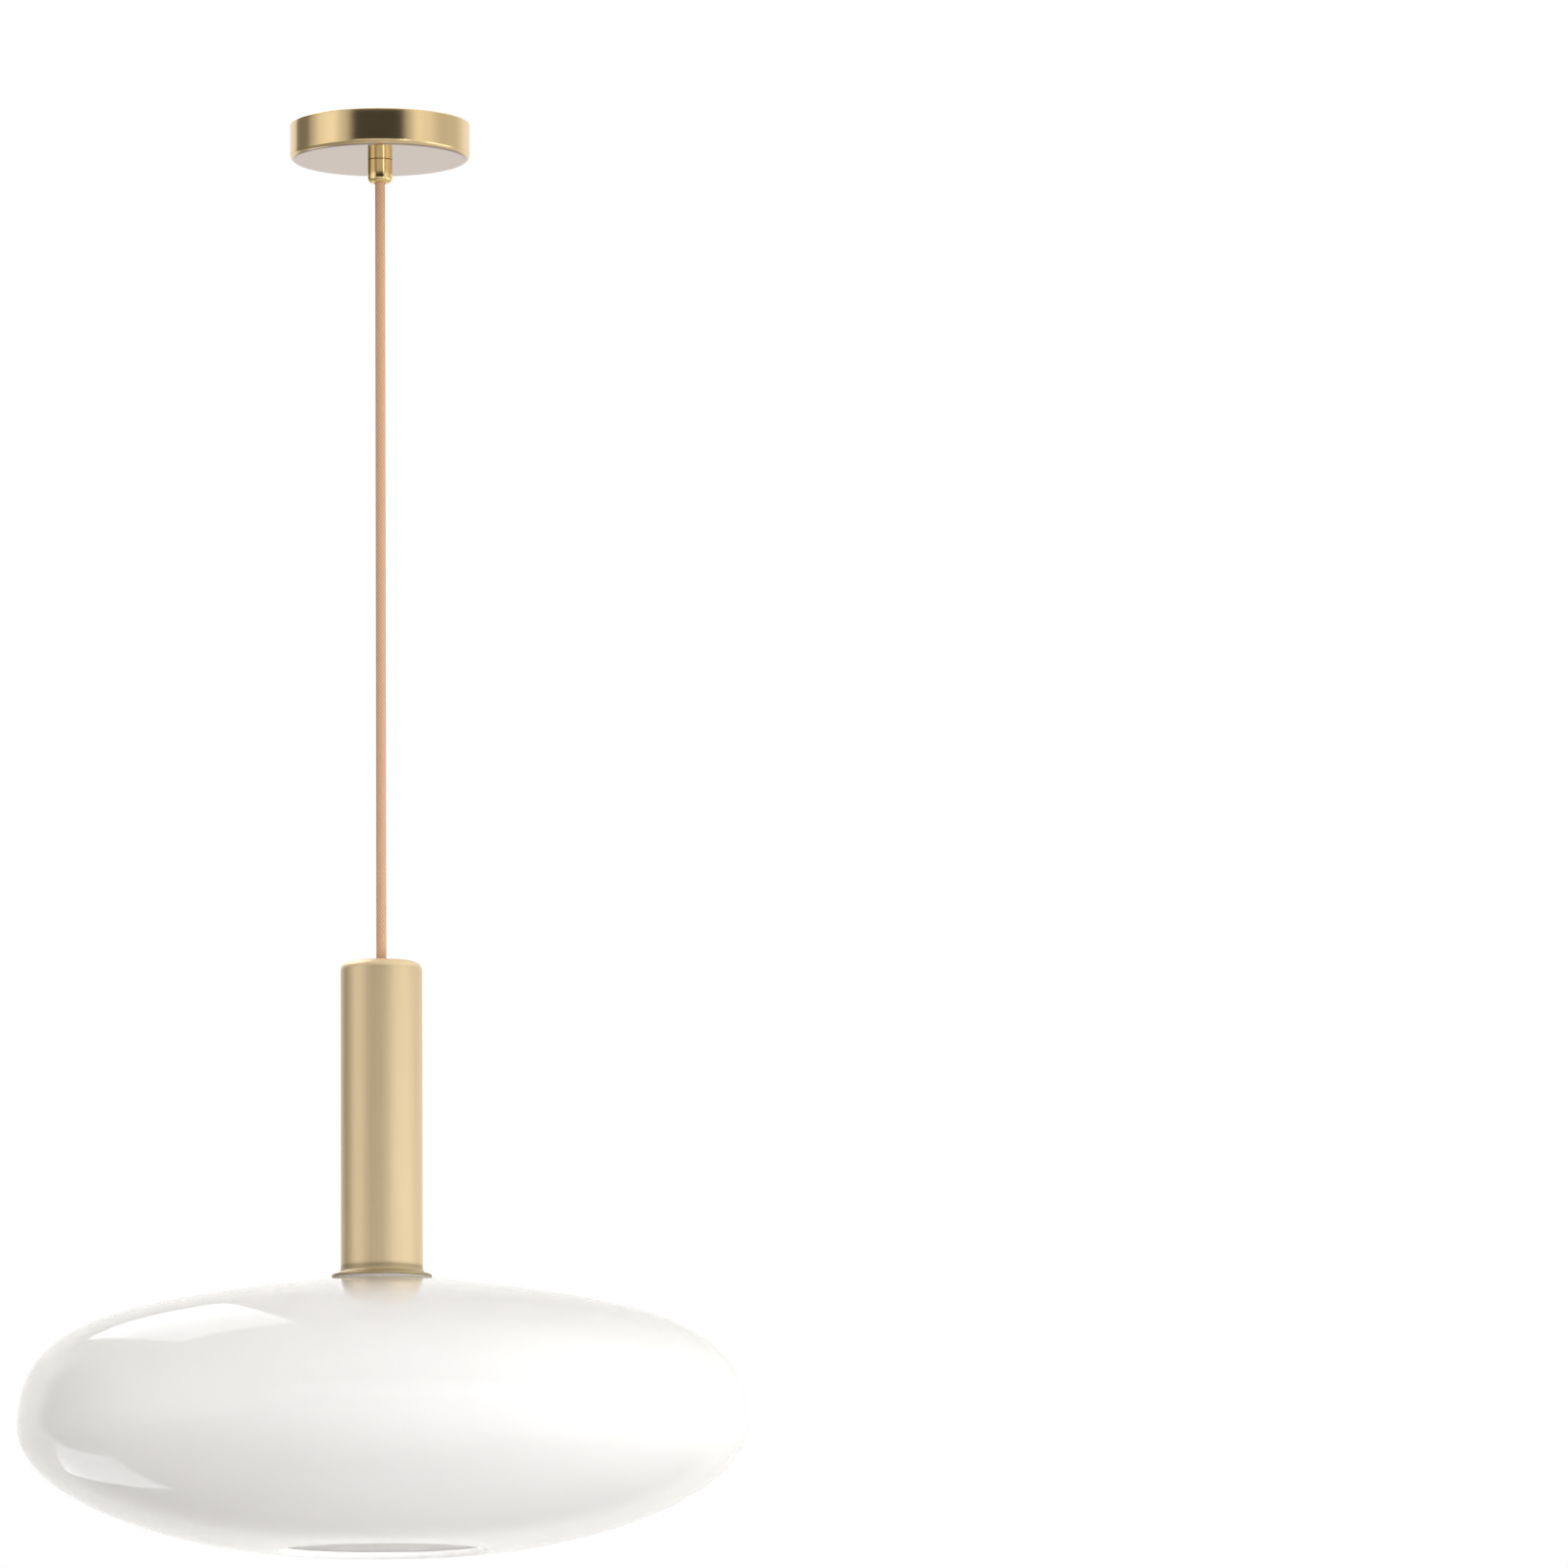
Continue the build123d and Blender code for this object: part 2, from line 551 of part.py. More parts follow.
# A flat strip with a sprung tongue that slants down from it and presses on the bulb's tip.
STRIP_TOP = SOCKET_FLOOR + SOCKET_ROOM
STRIP_LOW = STRIP_TOP - 0.8
STRIP_HALF = (8.0, 3.0)
TONGUE_ROOT = (-5.5, -3.5)  # its two sides where it leaves the strip
TONGUE_TIP = (2.2, 3.5)  # and where it meets the bulb
with BuildPart() as centre_contact:
    with BuildSketch(Plane.XZ):
        with BuildLine():
            Polyline(
                (-STRIP_HALF[0], STRIP_TOP),
                (STRIP_HALF[0], STRIP_TOP),
                (STRIP_HALF[0], STRIP_LOW),
                (TONGUE_ROOT[1], STRIP_LOW),
                (TONGUE_TIP[1], SOCKET_FLOOR),
                (TONGUE_TIP[0], SOCKET_FLOOR),
                (TONGUE_ROOT[0], STRIP_LOW),
                (-STRIP_HALF[0], STRIP_LOW),
                close=True,
            )
        make_face()
    extrude(amount=STRIP_HALF[1], both=True)
finish(centre_contact, "centre_contact")

with BuildPart() as contact_screws:
    with BuildSketch(Plane.XY.offset(CORE_TOP - TERMINAL_DEPTH)):
        with Locations(*TERMINAL_AT):
            Circle(M3_R)
    extrude(amount=TERMINAL_DEPTH)
    with BuildSketch(Plane.XY.offset(CORE_TOP)):
        with Locations(*TERMINAL_AT):
            Circle(TERMINAL_HEAD[0])
    extrude(amount=TERMINAL_HEAD[1])
    with BuildSketch(Plane.XY.offset(CORE_TOP + TERMINAL_HEAD[1])):
        with Locations(*TERMINAL_AT):
            Rectangle(2 * TERMINAL_HEAD[0], SLOT_W)
    extrude(amount=-SLOT_DEPTH, mode=Mode.SUBTRACT)
finish(contact_screws, "contact_screws")

PAIR_X = 1.3  # half the distance between the two conductors in the sleeve

for lead_name, side in (("holder_live_lead", 1), ("holder_neutral_lead", -1)):
    with BuildPart() as lead:
        wire(
            [
                (side * PAIR_X, 0, TAIL_BOTTOM),
                (side * PAIR_X, 0, TAIL_BOTTOM - 4.0),
                (side * TERMINAL_X, CORE_HOLE_Y, TAIL_BOTTOM - 8.5),
                (side * TERMINAL_X, CORE_HOLE_Y, CORE_TOP - 5.0),
            ],
            CORE_R,
            LEAD_BEND_R,
        )
    finish(lead, lead_name)

# ---- opal shade between its two gaskets -------------------------------------------------------------
with BuildPart() as upper_gasket:
    ring(FOOT_R - GASKET_INSET, SHADE_HOLE_R, FOOT_BOTTOM, SEAT_Z)
finish(upper_gasket, "upper_gasket")

# The section is a flat seat, a low shoulder that turns down over the widest circle, and a shallower
# lower side that ends in a rounded bead. Outer and inner lines are a wall apart.
POLE_HANDLE = (110.0, 17.0)
EQUATOR_UP = 61.8
EQUATOR_DOWN = 39.3
MOUTH_HANDLE = (52.2, 3.3)
INNER_R = SHADE_R - GLASS_T
INNER_SEAT = SEAT_Z - GLASS_T
WALL_UP = EQUATOR_UP * (EQUATOR_Z - INNER_SEAT) / (EQUATOR_Z - SEAT_Z)
LIP_Z = MOUTH_Z + LIP_R
with BuildPart() as glass_shade:
    with BuildSketch(Plane.XZ):
        with BuildLine():
            Line((SHADE_HOLE_R, SEAT_Z), (SEAT_R, SEAT_Z))
            Bezier(
                (SEAT_R, SEAT_Z),
                (SEAT_R + POLE_HANDLE[0], SEAT_Z - POLE_HANDLE[1]),
                (SHADE_R, EQUATOR_Z + EQUATOR_UP),
                (SHADE_R, EQUATOR_Z),
            )
            Bezier(
                (SHADE_R, EQUATOR_Z),
                (SHADE_R, EQUATOR_Z - EQUATOR_DOWN),
                (MOUTH_R + LIP_R + MOUTH_HANDLE[0], MOUTH_Z + MOUTH_HANDLE[1]),
                (MOUTH_R + LIP_R, MOUTH_Z),
            )
            CenterArc((MOUTH_R + LIP_R, LIP_Z), LIP_R, 90, 180)
            Bezier(
                (MOUTH_R + LIP_R, MOUTH_Z + 2 * LIP_R),
                (MOUTH_R + LIP_R + MOUTH_HANDLE[0], MOUTH_Z + MOUTH_HANDLE[1] + GLASS_T),
                (INNER_R, EQUATOR_Z - EQUATOR_DOWN + GLASS_T),
                (INNER_R, EQUATOR_Z),
            )
            Bezier(
                (INNER_R, EQUATOR_Z),
                (INNER_R, EQUATOR_Z + WALL_UP),
                (SEAT_R + POLE_HANDLE[0], INNER_SEAT - POLE_HANDLE[1]),
                (SEAT_R, INNER_SEAT),
            )
            Polyline((SEAT_R, INNER_SEAT), (SHADE_HOLE_R, INNER_SEAT), (SHADE_HOLE_R, SEAT_Z))
        make_face()
    revolve(axis=Axis.Z)
finish(glass_shade, "glass_shade")

LOWER_GASKET_T = 1.5
RING_OUT_R = 26.5
RING_BODY_R = RING_OUT_R - 2.0
RING_BORE_R = HOLDER_R + 0.08
RING_H = 8.0
RING_FLANGE_H = 2.5
RING_TOP = INNER_SEAT - LOWER_GASKET_T
FLUTES = 24  # finger flutes round the ring's body
FLUTE_R = 1.0
FLUTE_AT_R = RING_BODY_R + 0.3
with BuildPart() as lower_gasket:
    ring(RING_OUT_R - GASKET_INSET, SHADE_HOLE_R, INNER_SEAT, RING_TOP)
finish(lower_gasket, "lower_gasket")

with BuildPart() as shade_ring:
    ring(RING_OUT_R, RING_BORE_R, RING_TOP, RING_TOP - RING_FLANGE_H)
    ring(RING_BODY_R, RING_BORE_R, RING_TOP - RING_FLANGE_H, RING_TOP - RING_H)
    with BuildSketch(Plane.XY.offset(RING_TOP - RING_H)):
        with PolarLocations(FLUTE_AT_R, FLUTES):
            Circle(FLUTE_R)
    extrude(amount=RING_H - RING_FLANGE_H, mode=Mode.SUBTRACT)
finish(shade_ring, "shade_ring")

# ---- bulb -----------------------------------------------------------------------------------------------
CAP_TOP = SOCKET_FLOOR - 3.5
CAP_BOTTOM = SOCKET_FLOOR - 26.5
CAP_ROOT_R = SCREW_R - 0.9
CAP_WALL = 0.5
CAP_PITCH = 3.6
CAP_TURNS = 5
FIRST_CREST_Z = CAP_TOP - 4.5
CREST_HALF = 1.3
TIP_R = 4.2
TIP_H = 1.2
TIP_EDGE_R = 0.5
CONE_R = (4.6, 9.4)  # the black cone's small and large radius
CONE_RIM = 1.5
BULB_BOTTOM = SOCKET_FLOOR - BULB_LENGTH
SPHERE_Z = BULB_BOTTOM + BULB_R
COLLAR_BOTTOM = SPHERE_Z + 6.0
COLLAR_PLUG = 6.0  # how far the collar goes up into the cap
COLLAR_TOP_R = 13.8
COLLAR_LOW_R = BULB_R - 0.6
COLLAR_EASE = ((0.4, 12.0), (0.8, 14.0))  # sideways and upright pull at its two ends

with BuildPart() as bulb_contact:
    ring(TIP_R, 0, SOCKET_FLOOR, SOCKET_FLOOR - TIP_H)
    fillet(bulb_contact.edges().filter_by(GeomType.CIRCLE).sort_by(Axis.Z)[-1], TIP_EDGE_R)
finish(bulb_contact, "bulb_contact")

with BuildPart() as bulb_insulator:
    with BuildSketch(Plane.XZ):
        with BuildLine():
            Polyline(
                (0, SOCKET_FLOOR - TIP_H),
                (CONE_R[0], SOCKET_FLOOR - TIP_H),
                (CONE_R[1], CAP_TOP),
                (CONE_R[1], CAP_TOP - CONE_RIM),
                (0, CAP_TOP - CONE_RIM),
                close=True,
            )
        make_face()
    revolve(axis=Axis.Z)
finish(bulb_insulator, "bulb_insulator")

with BuildPart() as bulb_cap:
    ring(CAP_ROOT_R, 0, CAP_TOP, CAP_BOTTOM)
    for turn in range(CAP_TURNS):
        with BuildSketch(Plane.XZ):
            with Locations((CAP_ROOT_R, FIRST_CREST_Z - turn * CAP_PITCH)):
                Ellipse(SCREW_R - CAP_ROOT_R, CREST_HALF)
        revolve(axis=Axis.Z)
    with BuildSketch(Plane.XY.offset(CAP_BOTTOM)):
        Circle(CAP_ROOT_R - CAP_WALL)
    extrude(amount=CAP_TOP - CONE_RIM - CAP_BOTTOM, mode=Mode.SUBTRACT)
    with BuildSketch(Plane.XY.offset(CAP_TOP - CONE_RIM)):
        Circle(CONE_R[1])
    extrude(amount=CONE_RIM, mode=Mode.SUBTRACT)
finish(bulb_cap, "bulb_cap")

with BuildPart() as bulb_collar:
    plug_r = CAP_ROOT_R - CAP_WALL - CLEAR
    plug_top = CAP_BOTTOM + COLLAR_PLUG
    with BuildSketch(Plane.XZ):
        with BuildLine():
            Polyline((0, plug_top), (plug_r, plug_top), (plug_r, CAP_BOTTOM), (COLLAR_TOP_R, CAP_BOTTOM))
            Bezier(
                (COLLAR_TOP_R, CAP_BOTTOM),
                (COLLAR_TOP_R + COLLAR_EASE[0][0], CAP_BOTTOM - COLLAR_EASE[0][1]),
                (COLLAR_LOW_R - COLLAR_EASE[1][0], COLLAR_BOTTOM + COLLAR_EASE[1][1]),
                (COLLAR_LOW_R, COLLAR_BOTTOM),
            )
            Polyline((COLLAR_LOW_R, COLLAR_BOTTOM), (0, COLLAR_BOTTOM), (0, plug_top))
        make_face()
    revolve(axis=Axis.Z)
finish(bulb_collar, "bulb_collar")

# The diffuser: a sphere's lower part that meets the collar, hollow inside.
DIFFUSER_T = 1.2
with BuildPart() as bulb_glass:
    with Locations((0, 0, SPHERE_Z)):
        Sphere(BULB_R)
        Sphere(BULB_R - DIFFUSER_T, mode=Mode.SUBTRACT)
    split(bisect_by=Plane.XY.offset(COLLAR_BOTTOM), keep=Keep.BOTTOM)
finish(bulb_glass, "bulb_glass")
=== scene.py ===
# %% [markdown]
# # A pendant light with an opal glass shade
# A brass canopy sits against the ceiling, a textile cord hangs from it, and the cord carries a slim
# brass tube. The tube hides the lampholder, and a wide flattened glass shade is clamped under its foot.
# The engineering model gives every place and size. This script adds the finishes, the smooth
# turned and blown surfaces, the studio and the camera.

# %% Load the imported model
import json
import math

import bpy
import numpy as np
from mathutils import Matrix, Vector


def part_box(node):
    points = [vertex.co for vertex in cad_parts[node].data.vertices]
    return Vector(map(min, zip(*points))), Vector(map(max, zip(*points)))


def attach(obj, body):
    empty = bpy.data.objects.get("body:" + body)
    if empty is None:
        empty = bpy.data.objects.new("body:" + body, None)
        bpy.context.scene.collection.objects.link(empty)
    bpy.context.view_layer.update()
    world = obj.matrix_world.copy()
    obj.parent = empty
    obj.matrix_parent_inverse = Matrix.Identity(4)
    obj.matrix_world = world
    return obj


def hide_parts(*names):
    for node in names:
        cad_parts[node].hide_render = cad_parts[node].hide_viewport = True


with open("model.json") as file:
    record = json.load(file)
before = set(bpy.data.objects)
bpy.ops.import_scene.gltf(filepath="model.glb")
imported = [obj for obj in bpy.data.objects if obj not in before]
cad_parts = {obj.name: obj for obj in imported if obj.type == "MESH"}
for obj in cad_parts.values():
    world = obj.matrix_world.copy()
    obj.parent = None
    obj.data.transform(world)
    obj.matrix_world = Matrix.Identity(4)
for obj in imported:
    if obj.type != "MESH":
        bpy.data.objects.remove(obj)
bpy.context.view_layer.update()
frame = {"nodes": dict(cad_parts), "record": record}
nodes = frame["nodes"]

# %% [markdown]
# ## The camera
# The lamp is seen from far away through a long lens, from a little below the mouth of the shade. That
# way the sides stay almost parallel, yet the underside of the canopy and the mouth's edge both show.
# The lamp hangs in the left half of the picture, so the camera is turned to the right of it.

# %% Camera
CAMERA_AWAY = 6.617  # from the lamp's axis
CAMERA_DROP = 0.5  # below the mouth
PAN = 0.033635  # radians to the right
TILT = 0.138638  # radians upwards
ROLL = -0.0063185
LENS = 277.6  # millimetres on a 36 mm sensor

mouth_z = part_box("glass_shade")[0].z
camera = bpy.data.objects.new("camera", bpy.data.cameras.new("camera"))
camera.data.lens = LENS
camera.data.clip_end = 100.0
camera.location = (0.0, -CAMERA_AWAY, mouth_z - CAMERA_DROP)
turn = Matrix.Rotation(-PAN, 3, "Z") @ Matrix.Rotation(math.pi / 2 + TILT, 3, "X")
camera.rotation_mode = "QUATERNION"
camera.rotation_quaternion = (turn @ Matrix.Rotation(ROLL, 3, "Z")).to_quaternion()
bpy.context.scene.collection.objects.link(camera)
bpy.context.scene.camera = camera
bpy.context.scene.view_settings.view_transform = "Standard"
print("camera at", [round(x, 3) for x in camera.location])

# %% [markdown]
# ## The cord
# A pendant cord is pulled straight by the lamp's weight, so its line needs only its two ends and one
# point near each of them. A NURBS curve with a round bevel is the simplest true tube. It dips a little
# into the grip above and into the bushing below, as the real cord does.

# %% Cord
CORD_D = 0.0056
CORD_STOPS = (-0.0315, -0.067, -0.4355, -0.471)


def cord_curve(name, heights, diameter):
    """A round cord down the lamp's axis: a NURBS line with control points at the given heights, bevelled."""
    curve = bpy.data.curves.new(name, "CURVE")
    curve.dimensions = "3D"
    line = curve.splines.new("NURBS")
    line.points.add(len(heights) - 1)
    line.points.foreach_set("co", [x for z in heights for x in (0.0, 0.0, z, 1.0)])
    line.points.foreach_set("radius", [diameter / 2] * len(heights))
    line.order_u = 3
    line.use_endpoint_u = True
    curve.bevel_depth = 1.0  # times each point's radius, which Blender also counts in the curve's box
    curve.bevel_resolution = 10
    curve.resolution_u = 24
    curve.use_fill_caps = True
    piece = bpy.data.objects.new(name, curve)
    bpy.context.scene.collection.objects.link(piece)
    return piece


flex = cord_curve("pendant_cord", CORD_STOPS, CORD_D)
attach(flex, "cord")
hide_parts("cord")
print("cord", round(CORD_STOPS[0] - CORD_STOPS[-1], 4), "m")

# %% [markdown]
# ## The studio
# Metal and glossy glass show little of themselves and much of the room, so the room matters more than
# the finish. A studio has bright panels to the left and right and a dark gap in front,
# and polished brass answers with bright and dark bands. Here the room is a world shader: a colour ramp
# runs round the compass, and softboxes of real size add the broad light and the shapes in the glass.

# %% Node helpers
def place(tree, kind, **settings):
    """Adds a node and gives it its settings."""
    node = tree.nodes.new(kind)
    for name, value in settings.items():
        setattr(node, name, value)
    return node


def feed(tree, value, socket):
    """Links an output to a socket, or sets the socket to a plain value."""
    if isinstance(value, bpy.types.NodeSocket):
        tree.links.new(value, socket)
    else:
        socket.default_value = value


def calc(tree, operation, *values):
    """One Math node with sockets or numbers going in, and its output coming out."""
    node = place(tree, "ShaderNodeMath", operation=operation)
    for value, socket in zip(values, node.inputs):
        feed(tree, value, socket)
    return node.outputs[0]


def span(tree, value, old, new):
    """A smooth Map Range from the old pair of numbers to the new pair."""
    node = place(tree, "ShaderNodeMapRange", interpolation_type="SMOOTHSTEP")
    for number, socket in zip((value, *old, *new), node.inputs):
        feed(tree, number, socket)
    return node.outputs[0]


def blended(tree, mask, low, high):
    """A colour between low and high, each a colour output or three numbers."""
    mix = place(tree, "ShaderNodeMix", data_type="RGBA")
    feed(tree, mask, mix.inputs[0])
    for colour, socket in ((low, mix.inputs[6]), (high, mix.inputs[7])):
        feed(tree, colour if isinstance(colour, bpy.types.NodeSocket) else (*colour, 1.0), socket)
    return mix.outputs[2]


# %% Room light as a ramp round the compass
# Bearings in degrees: 0 is in front of the lamp, +90 its right side and 180 behind it.
PANELS = (
    (-180, 1.00),
    (-140, 0.95),
    (-131, 0.22),
    (-108, 0.22),
    (-98, 0.55),
    (-82, 0.98),
    (-64, 1.12),
    (-46, 0.68),
    (-31, 0.05),
    (27, 0.04),
    (36, 0.55),
    (50, 1.05),
    (62, 0.95),
    (87, 0.66),
    (112, 0.68),
    (140, 1.00),
    (180, 1.00),
)
OVERHEAD = ((0.50, 0.49, 0.48), (1.28, 1.26, 1.24))  # at the left and at the right
BELOW = ((0.27, 0.265, 0.26), (0.82, 0.805, 0.79))
BAND_Z = 0.03  # the sine of the band's elevation
BAND_EDGE = (0.30, 0.50)


def studio_world():
    """White to the eye, and to reflections a ring of panels a little above the level of the lamp. Over it
    and under it the light grows from left to right with x: Mix(OVERHEAD, (x + 1) / 2), and the same below."""
    world = bpy.data.worlds.new("studio")
    world.use_nodes = True
    tree = world.node_tree
    tree.nodes.clear()
    way = place(tree, "ShaderNodeSeparateXYZ")
    feed(tree, place(tree, "ShaderNodeTexCoord").outputs["Generated"], way.inputs[0])
    x, y, z = way.outputs
    bearing = calc(tree, "ARCTAN2", x, calc(tree, "MULTIPLY", y, -1.0))
    ramp = place(tree, "ShaderNodeValToRGB")
    feed(tree, calc(tree, "MULTIPLY_ADD", bearing, 0.5 / math.pi, 0.5), ramp.inputs[0])
    ramp.color_ramp.interpolation = "EASE"
    stops = ramp.color_ramp.elements
    while len(stops) < len(PANELS):
        stops.new(0.5)
    for stop, (degrees, level) in zip(stops, PANELS):
        stop.position = degrees / 360 + 0.5
        stop.color = (level, level * 0.985, level * 0.96, 1.0)
    side = calc(tree, "MULTIPLY_ADD", x, 0.5, 0.5)
    below, overhead = [blended(tree, side, *pair) for pair in (BELOW, OVERHEAD)]
    rest = blended(tree, span(tree, z, (-0.3, 0.4), (0.0, 1.0)), below, overhead)
    off_band = calc(tree, "ABSOLUTE", calc(tree, "SUBTRACT", z, BAND_Z))
    room = blended(tree, span(tree, off_band, BAND_EDGE, (1.0, 0.0)), rest, ramp.outputs[0])
    camera_ray = place(tree, "ShaderNodeLightPath").outputs["Is Camera Ray"]
    light = place(tree, "ShaderNodeBackground")
    feed(tree, blended(tree, camera_ray, room, (1.0, 1.0, 1.0)), light.inputs[0])
    feed(tree, light.outputs[0], place(tree, "ShaderNodeOutputWorld").inputs[0])
    return world


bpy.context.scene.world = studio_world()
print("room panels", len(PANELS))

# %% Softboxes
HEAD = Vector((0.0, 0.0, -0.62))  # what the softboxes are aimed at


def softbox(name, spot, size, radiance, aim=HEAD, glossy=True):
    """An area light at a spot, turned towards its aim. Its power gives the panel the stated radiance. A fill
    that isn't glossy lights the glass and the cord, but leaves no shape of its own in any shine."""
    light = bpy.data.lights.new(name, "AREA")
    light.shape = "RECTANGLE"
    light.size, light.size_y = size
    light.energy = radiance * math.pi * size[0] * size[1]
    panel = bpy.data.objects.new(name, light)
    panel.location = spot
    panel.rotation_mode = "QUATERNION"
    panel.rotation_quaternion = (Vector(aim) - Vector(spot)).to_track_quat("-Z", "Y")
    panel.visible_camera = False
    panel.visible_glossy = glossy
    bpy.context.scene.collection.objects.link(panel)
    return panel


softbox("front_fill", (0.2, -3.0, -1.35), (4.0, 2.0), 3.3, glossy=False)
softbox("left_fill", (-2.6, 0.9, -1.0), (1.5, 1.0), 1.6, glossy=False)
softbox("right_fill", (3.0, -0.6, -1.5), (2.0, 1.5), 5.6, glossy=False)
softbox("front_panel", (0.1, -2.2, -0.5), (3.2, 0.8), 0.8)
softbox("right_panel", (2.2, -0.2, -0.9), (1.8, 0.8), 1.0)
softbox("top_left", (-0.88, 1.25, 0.9), (0.96, 2.3), 1.8, aim=(-0.88, 1.25, 0.0))
softbox("window_right", (1.25, -2.0, -0.45), (0.30, 0.30), 4.0)
softbox("low_left", (-1.01, 1.40, -1.71), (0.70, 0.65), 1.0)

# %% Pale floor
# The floor is clear when seen from underneath, so that the lamp can also be looked at from below. It takes
# light and shadow but gives none back: the lamp's underside is lit by the room's own lower half.
FLOOR_Z = -1.9
FLOOR_HALF = 12.0

corners = [(x, y, FLOOR_Z) for x, y in ((-1, -1), (1, -1), (1, 1), (-1, 1))]
corners = [(x * FLOOR_HALF, y * FLOOR_HALF, z) for x, y, z in corners]
floor_mesh = bpy.data.meshes.new("floor")
floor_mesh.from_pydata(corners, [], [(0, 1, 2, 3)])
floor = bpy.data.objects.new("floor", floor_mesh)
bpy.context.scene.collection.objects.link(floor)
floor.visible_diffuse = False
floor.visible_glossy = False

paint = bpy.data.materials.new("floor_paint")
paint.use_nodes = True
tree = paint.node_tree
shade = tree.nodes["Principled BSDF"]
shade.inputs["Base Color"].default_value = (0.86, 0.85, 0.84, 1.0)
shade.inputs["Roughness"].default_value = 0.8
choice = place(tree, "ShaderNodeMixShader")
feed(tree, place(tree, "ShaderNodeNewGeometry").outputs["Backfacing"], choice.inputs[0])
feed(tree, shade.outputs[0], choice.inputs[1])
feed(tree, place(tree, "ShaderNodeBsdfTransparent").outputs[0], choice.inputs[2])
feed(tree, choice.outputs[0], tree.nodes["Material Output"].inputs[0])
floor_mesh.materials.append(paint)
print("floor at", FLOOR_Z)

# %% [markdown]
# ## Effects that several finishes share
# Brushed metal, moulded plastic and cloth all need fine relief and uneven gloss. Each effect is a node
# group, built once, that reads the piece's own coordinates and gives out a height or a mask. The
# finish decides how much of it reaches the roughness or the bump.

# %% Effect: an empty group
def effect(name, inputs, outputs):
    """A shader node group with the named inputs and outputs. Returns it with its input and output nodes."""
    tree = bpy.data.node_groups.new(name, "ShaderNodeTree")
    for label, kind in inputs:
        tree.interface.new_socket(label, in_out="INPUT", socket_type=kind)
    for label, kind in outputs:
        tree.interface.new_socket(label, in_out="OUTPUT", socket_type=kind)
    return tree, tree.nodes.new("NodeGroupInput"), tree.nodes.new("NodeGroupOutput")


VECTOR, NUMBER = "NodeSocketVector", "NodeSocketFloat"


def noise(tree, vector, scale, detail=3.0, roughness=0.6):
    """A noise texture read at a vector, as a number."""
    node = place(tree, "ShaderNodeTexNoise")
    feed(tree, vector, node.inputs["Vector"])
    feed(tree, scale, node.inputs["Scale"])
    feed(tree, detail, node.inputs["Detail"])
    feed(tree, roughness, node.inputs["Roughness"])
    return node.outputs[0]


# %% Effect: brushing on a turned part
def brushing():
    """Streaks on a round part. The direction from the axis is a unit vector times Around, and height plus
    radius is taken times Along. A large Around gives lengthwise hairlines, and a large Along gives rings."""
    tree, given, out = effect(
        "brushing",
        [("Vector", VECTOR), ("Around", NUMBER), ("Along", NUMBER)],
        [("Streak", NUMBER)],
    )
    split = place(tree, "ShaderNodeSeparateXYZ")
    feed(tree, given.outputs["Vector"], split.inputs[0])
    flat = place(tree, "ShaderNodeCombineXYZ")
    feed(tree, split.outputs[0], flat.inputs[0])
    feed(tree, split.outputs[1], flat.inputs[1])
    unit = place(tree, "ShaderNodeVectorMath", operation="NORMALIZE")
    feed(tree, flat.outputs[0], unit.inputs[0])
    length = place(tree, "ShaderNodeVectorMath", operation="LENGTH")
    feed(tree, flat.outputs[0], length.inputs[0])
    wide = place(tree, "ShaderNodeVectorMath", operation="SCALE")
    feed(tree, unit.outputs[0], wide.inputs[0])
    feed(tree, given.outputs["Around"], wide.inputs["Scale"])
    reach = calc(tree, "ADD", split.outputs[2], length.outputs["Value"])
    tall = place(tree, "ShaderNodeCombineXYZ")
    feed(tree, calc(tree, "MULTIPLY", reach, given.outputs["Along"]), tall.inputs[2])
    whole = place(tree, "ShaderNodeVectorMath", operation="ADD")
    feed(tree, wide.outputs[0], whole.inputs[0])
    feed(tree, tall.outputs[0], whole.inputs[1])
    feed(tree, noise(tree, whole.outputs[0], 1.0, 4.0, 0.65), out.inputs["Streak"])
    return tree


BRUSHING = brushing()
print("group", BRUSHING.name)


# %% Effect: clouding and grain
def clouding():
    """Soft uneven patches, for lacquer, handled metal and glass: noise warped by itself."""
    tree, given, out = effect(
        "clouding",
        [("Vector", VECTOR), ("Scale", NUMBER)],
        [("Patch", NUMBER)],
    )
    soft = noise(tree, given.outputs["Vector"], given.outputs["Scale"], 2.0, 0.5)
    moved = place(tree, "ShaderNodeVectorMath", operation="MULTIPLY_ADD")
    feed(tree, soft, moved.inputs[0])
    feed(tree, (0.02, 0.02, 0.02), moved.inputs[1])
    feed(tree, given.outputs["Vector"], moved.inputs[2])
    feed(tree, noise(tree, moved.outputs[0], given.outputs["Scale"], 4.0, 0.55), out.inputs["Patch"])
    return tree


def grain():
    """The fine pebbled skin of a moulded part: a smooth Voronoi field with noise on top."""
    tree, given, out = effect(
        "grain",
        [("Vector", VECTOR), ("Scale", NUMBER)],
        [("Height", NUMBER)],
    )
    cells = place(tree, "ShaderNodeTexVoronoi", feature="SMOOTH_F1")
    feed(tree, given.outputs["Vector"], cells.inputs["Vector"])
    feed(tree, given.outputs["Scale"], cells.inputs["Scale"])
    fine = noise(tree, given.outputs["Vector"], given.outputs["Scale"], 3.0, 0.7)
    feed(tree, calc(tree, "ADD", cells.outputs["Distance"], fine), out.inputs["Height"])
    return tree


CLOUDING = clouding()
GRAIN = grain()
print("groups", CLOUDING.name, GRAIN.name)


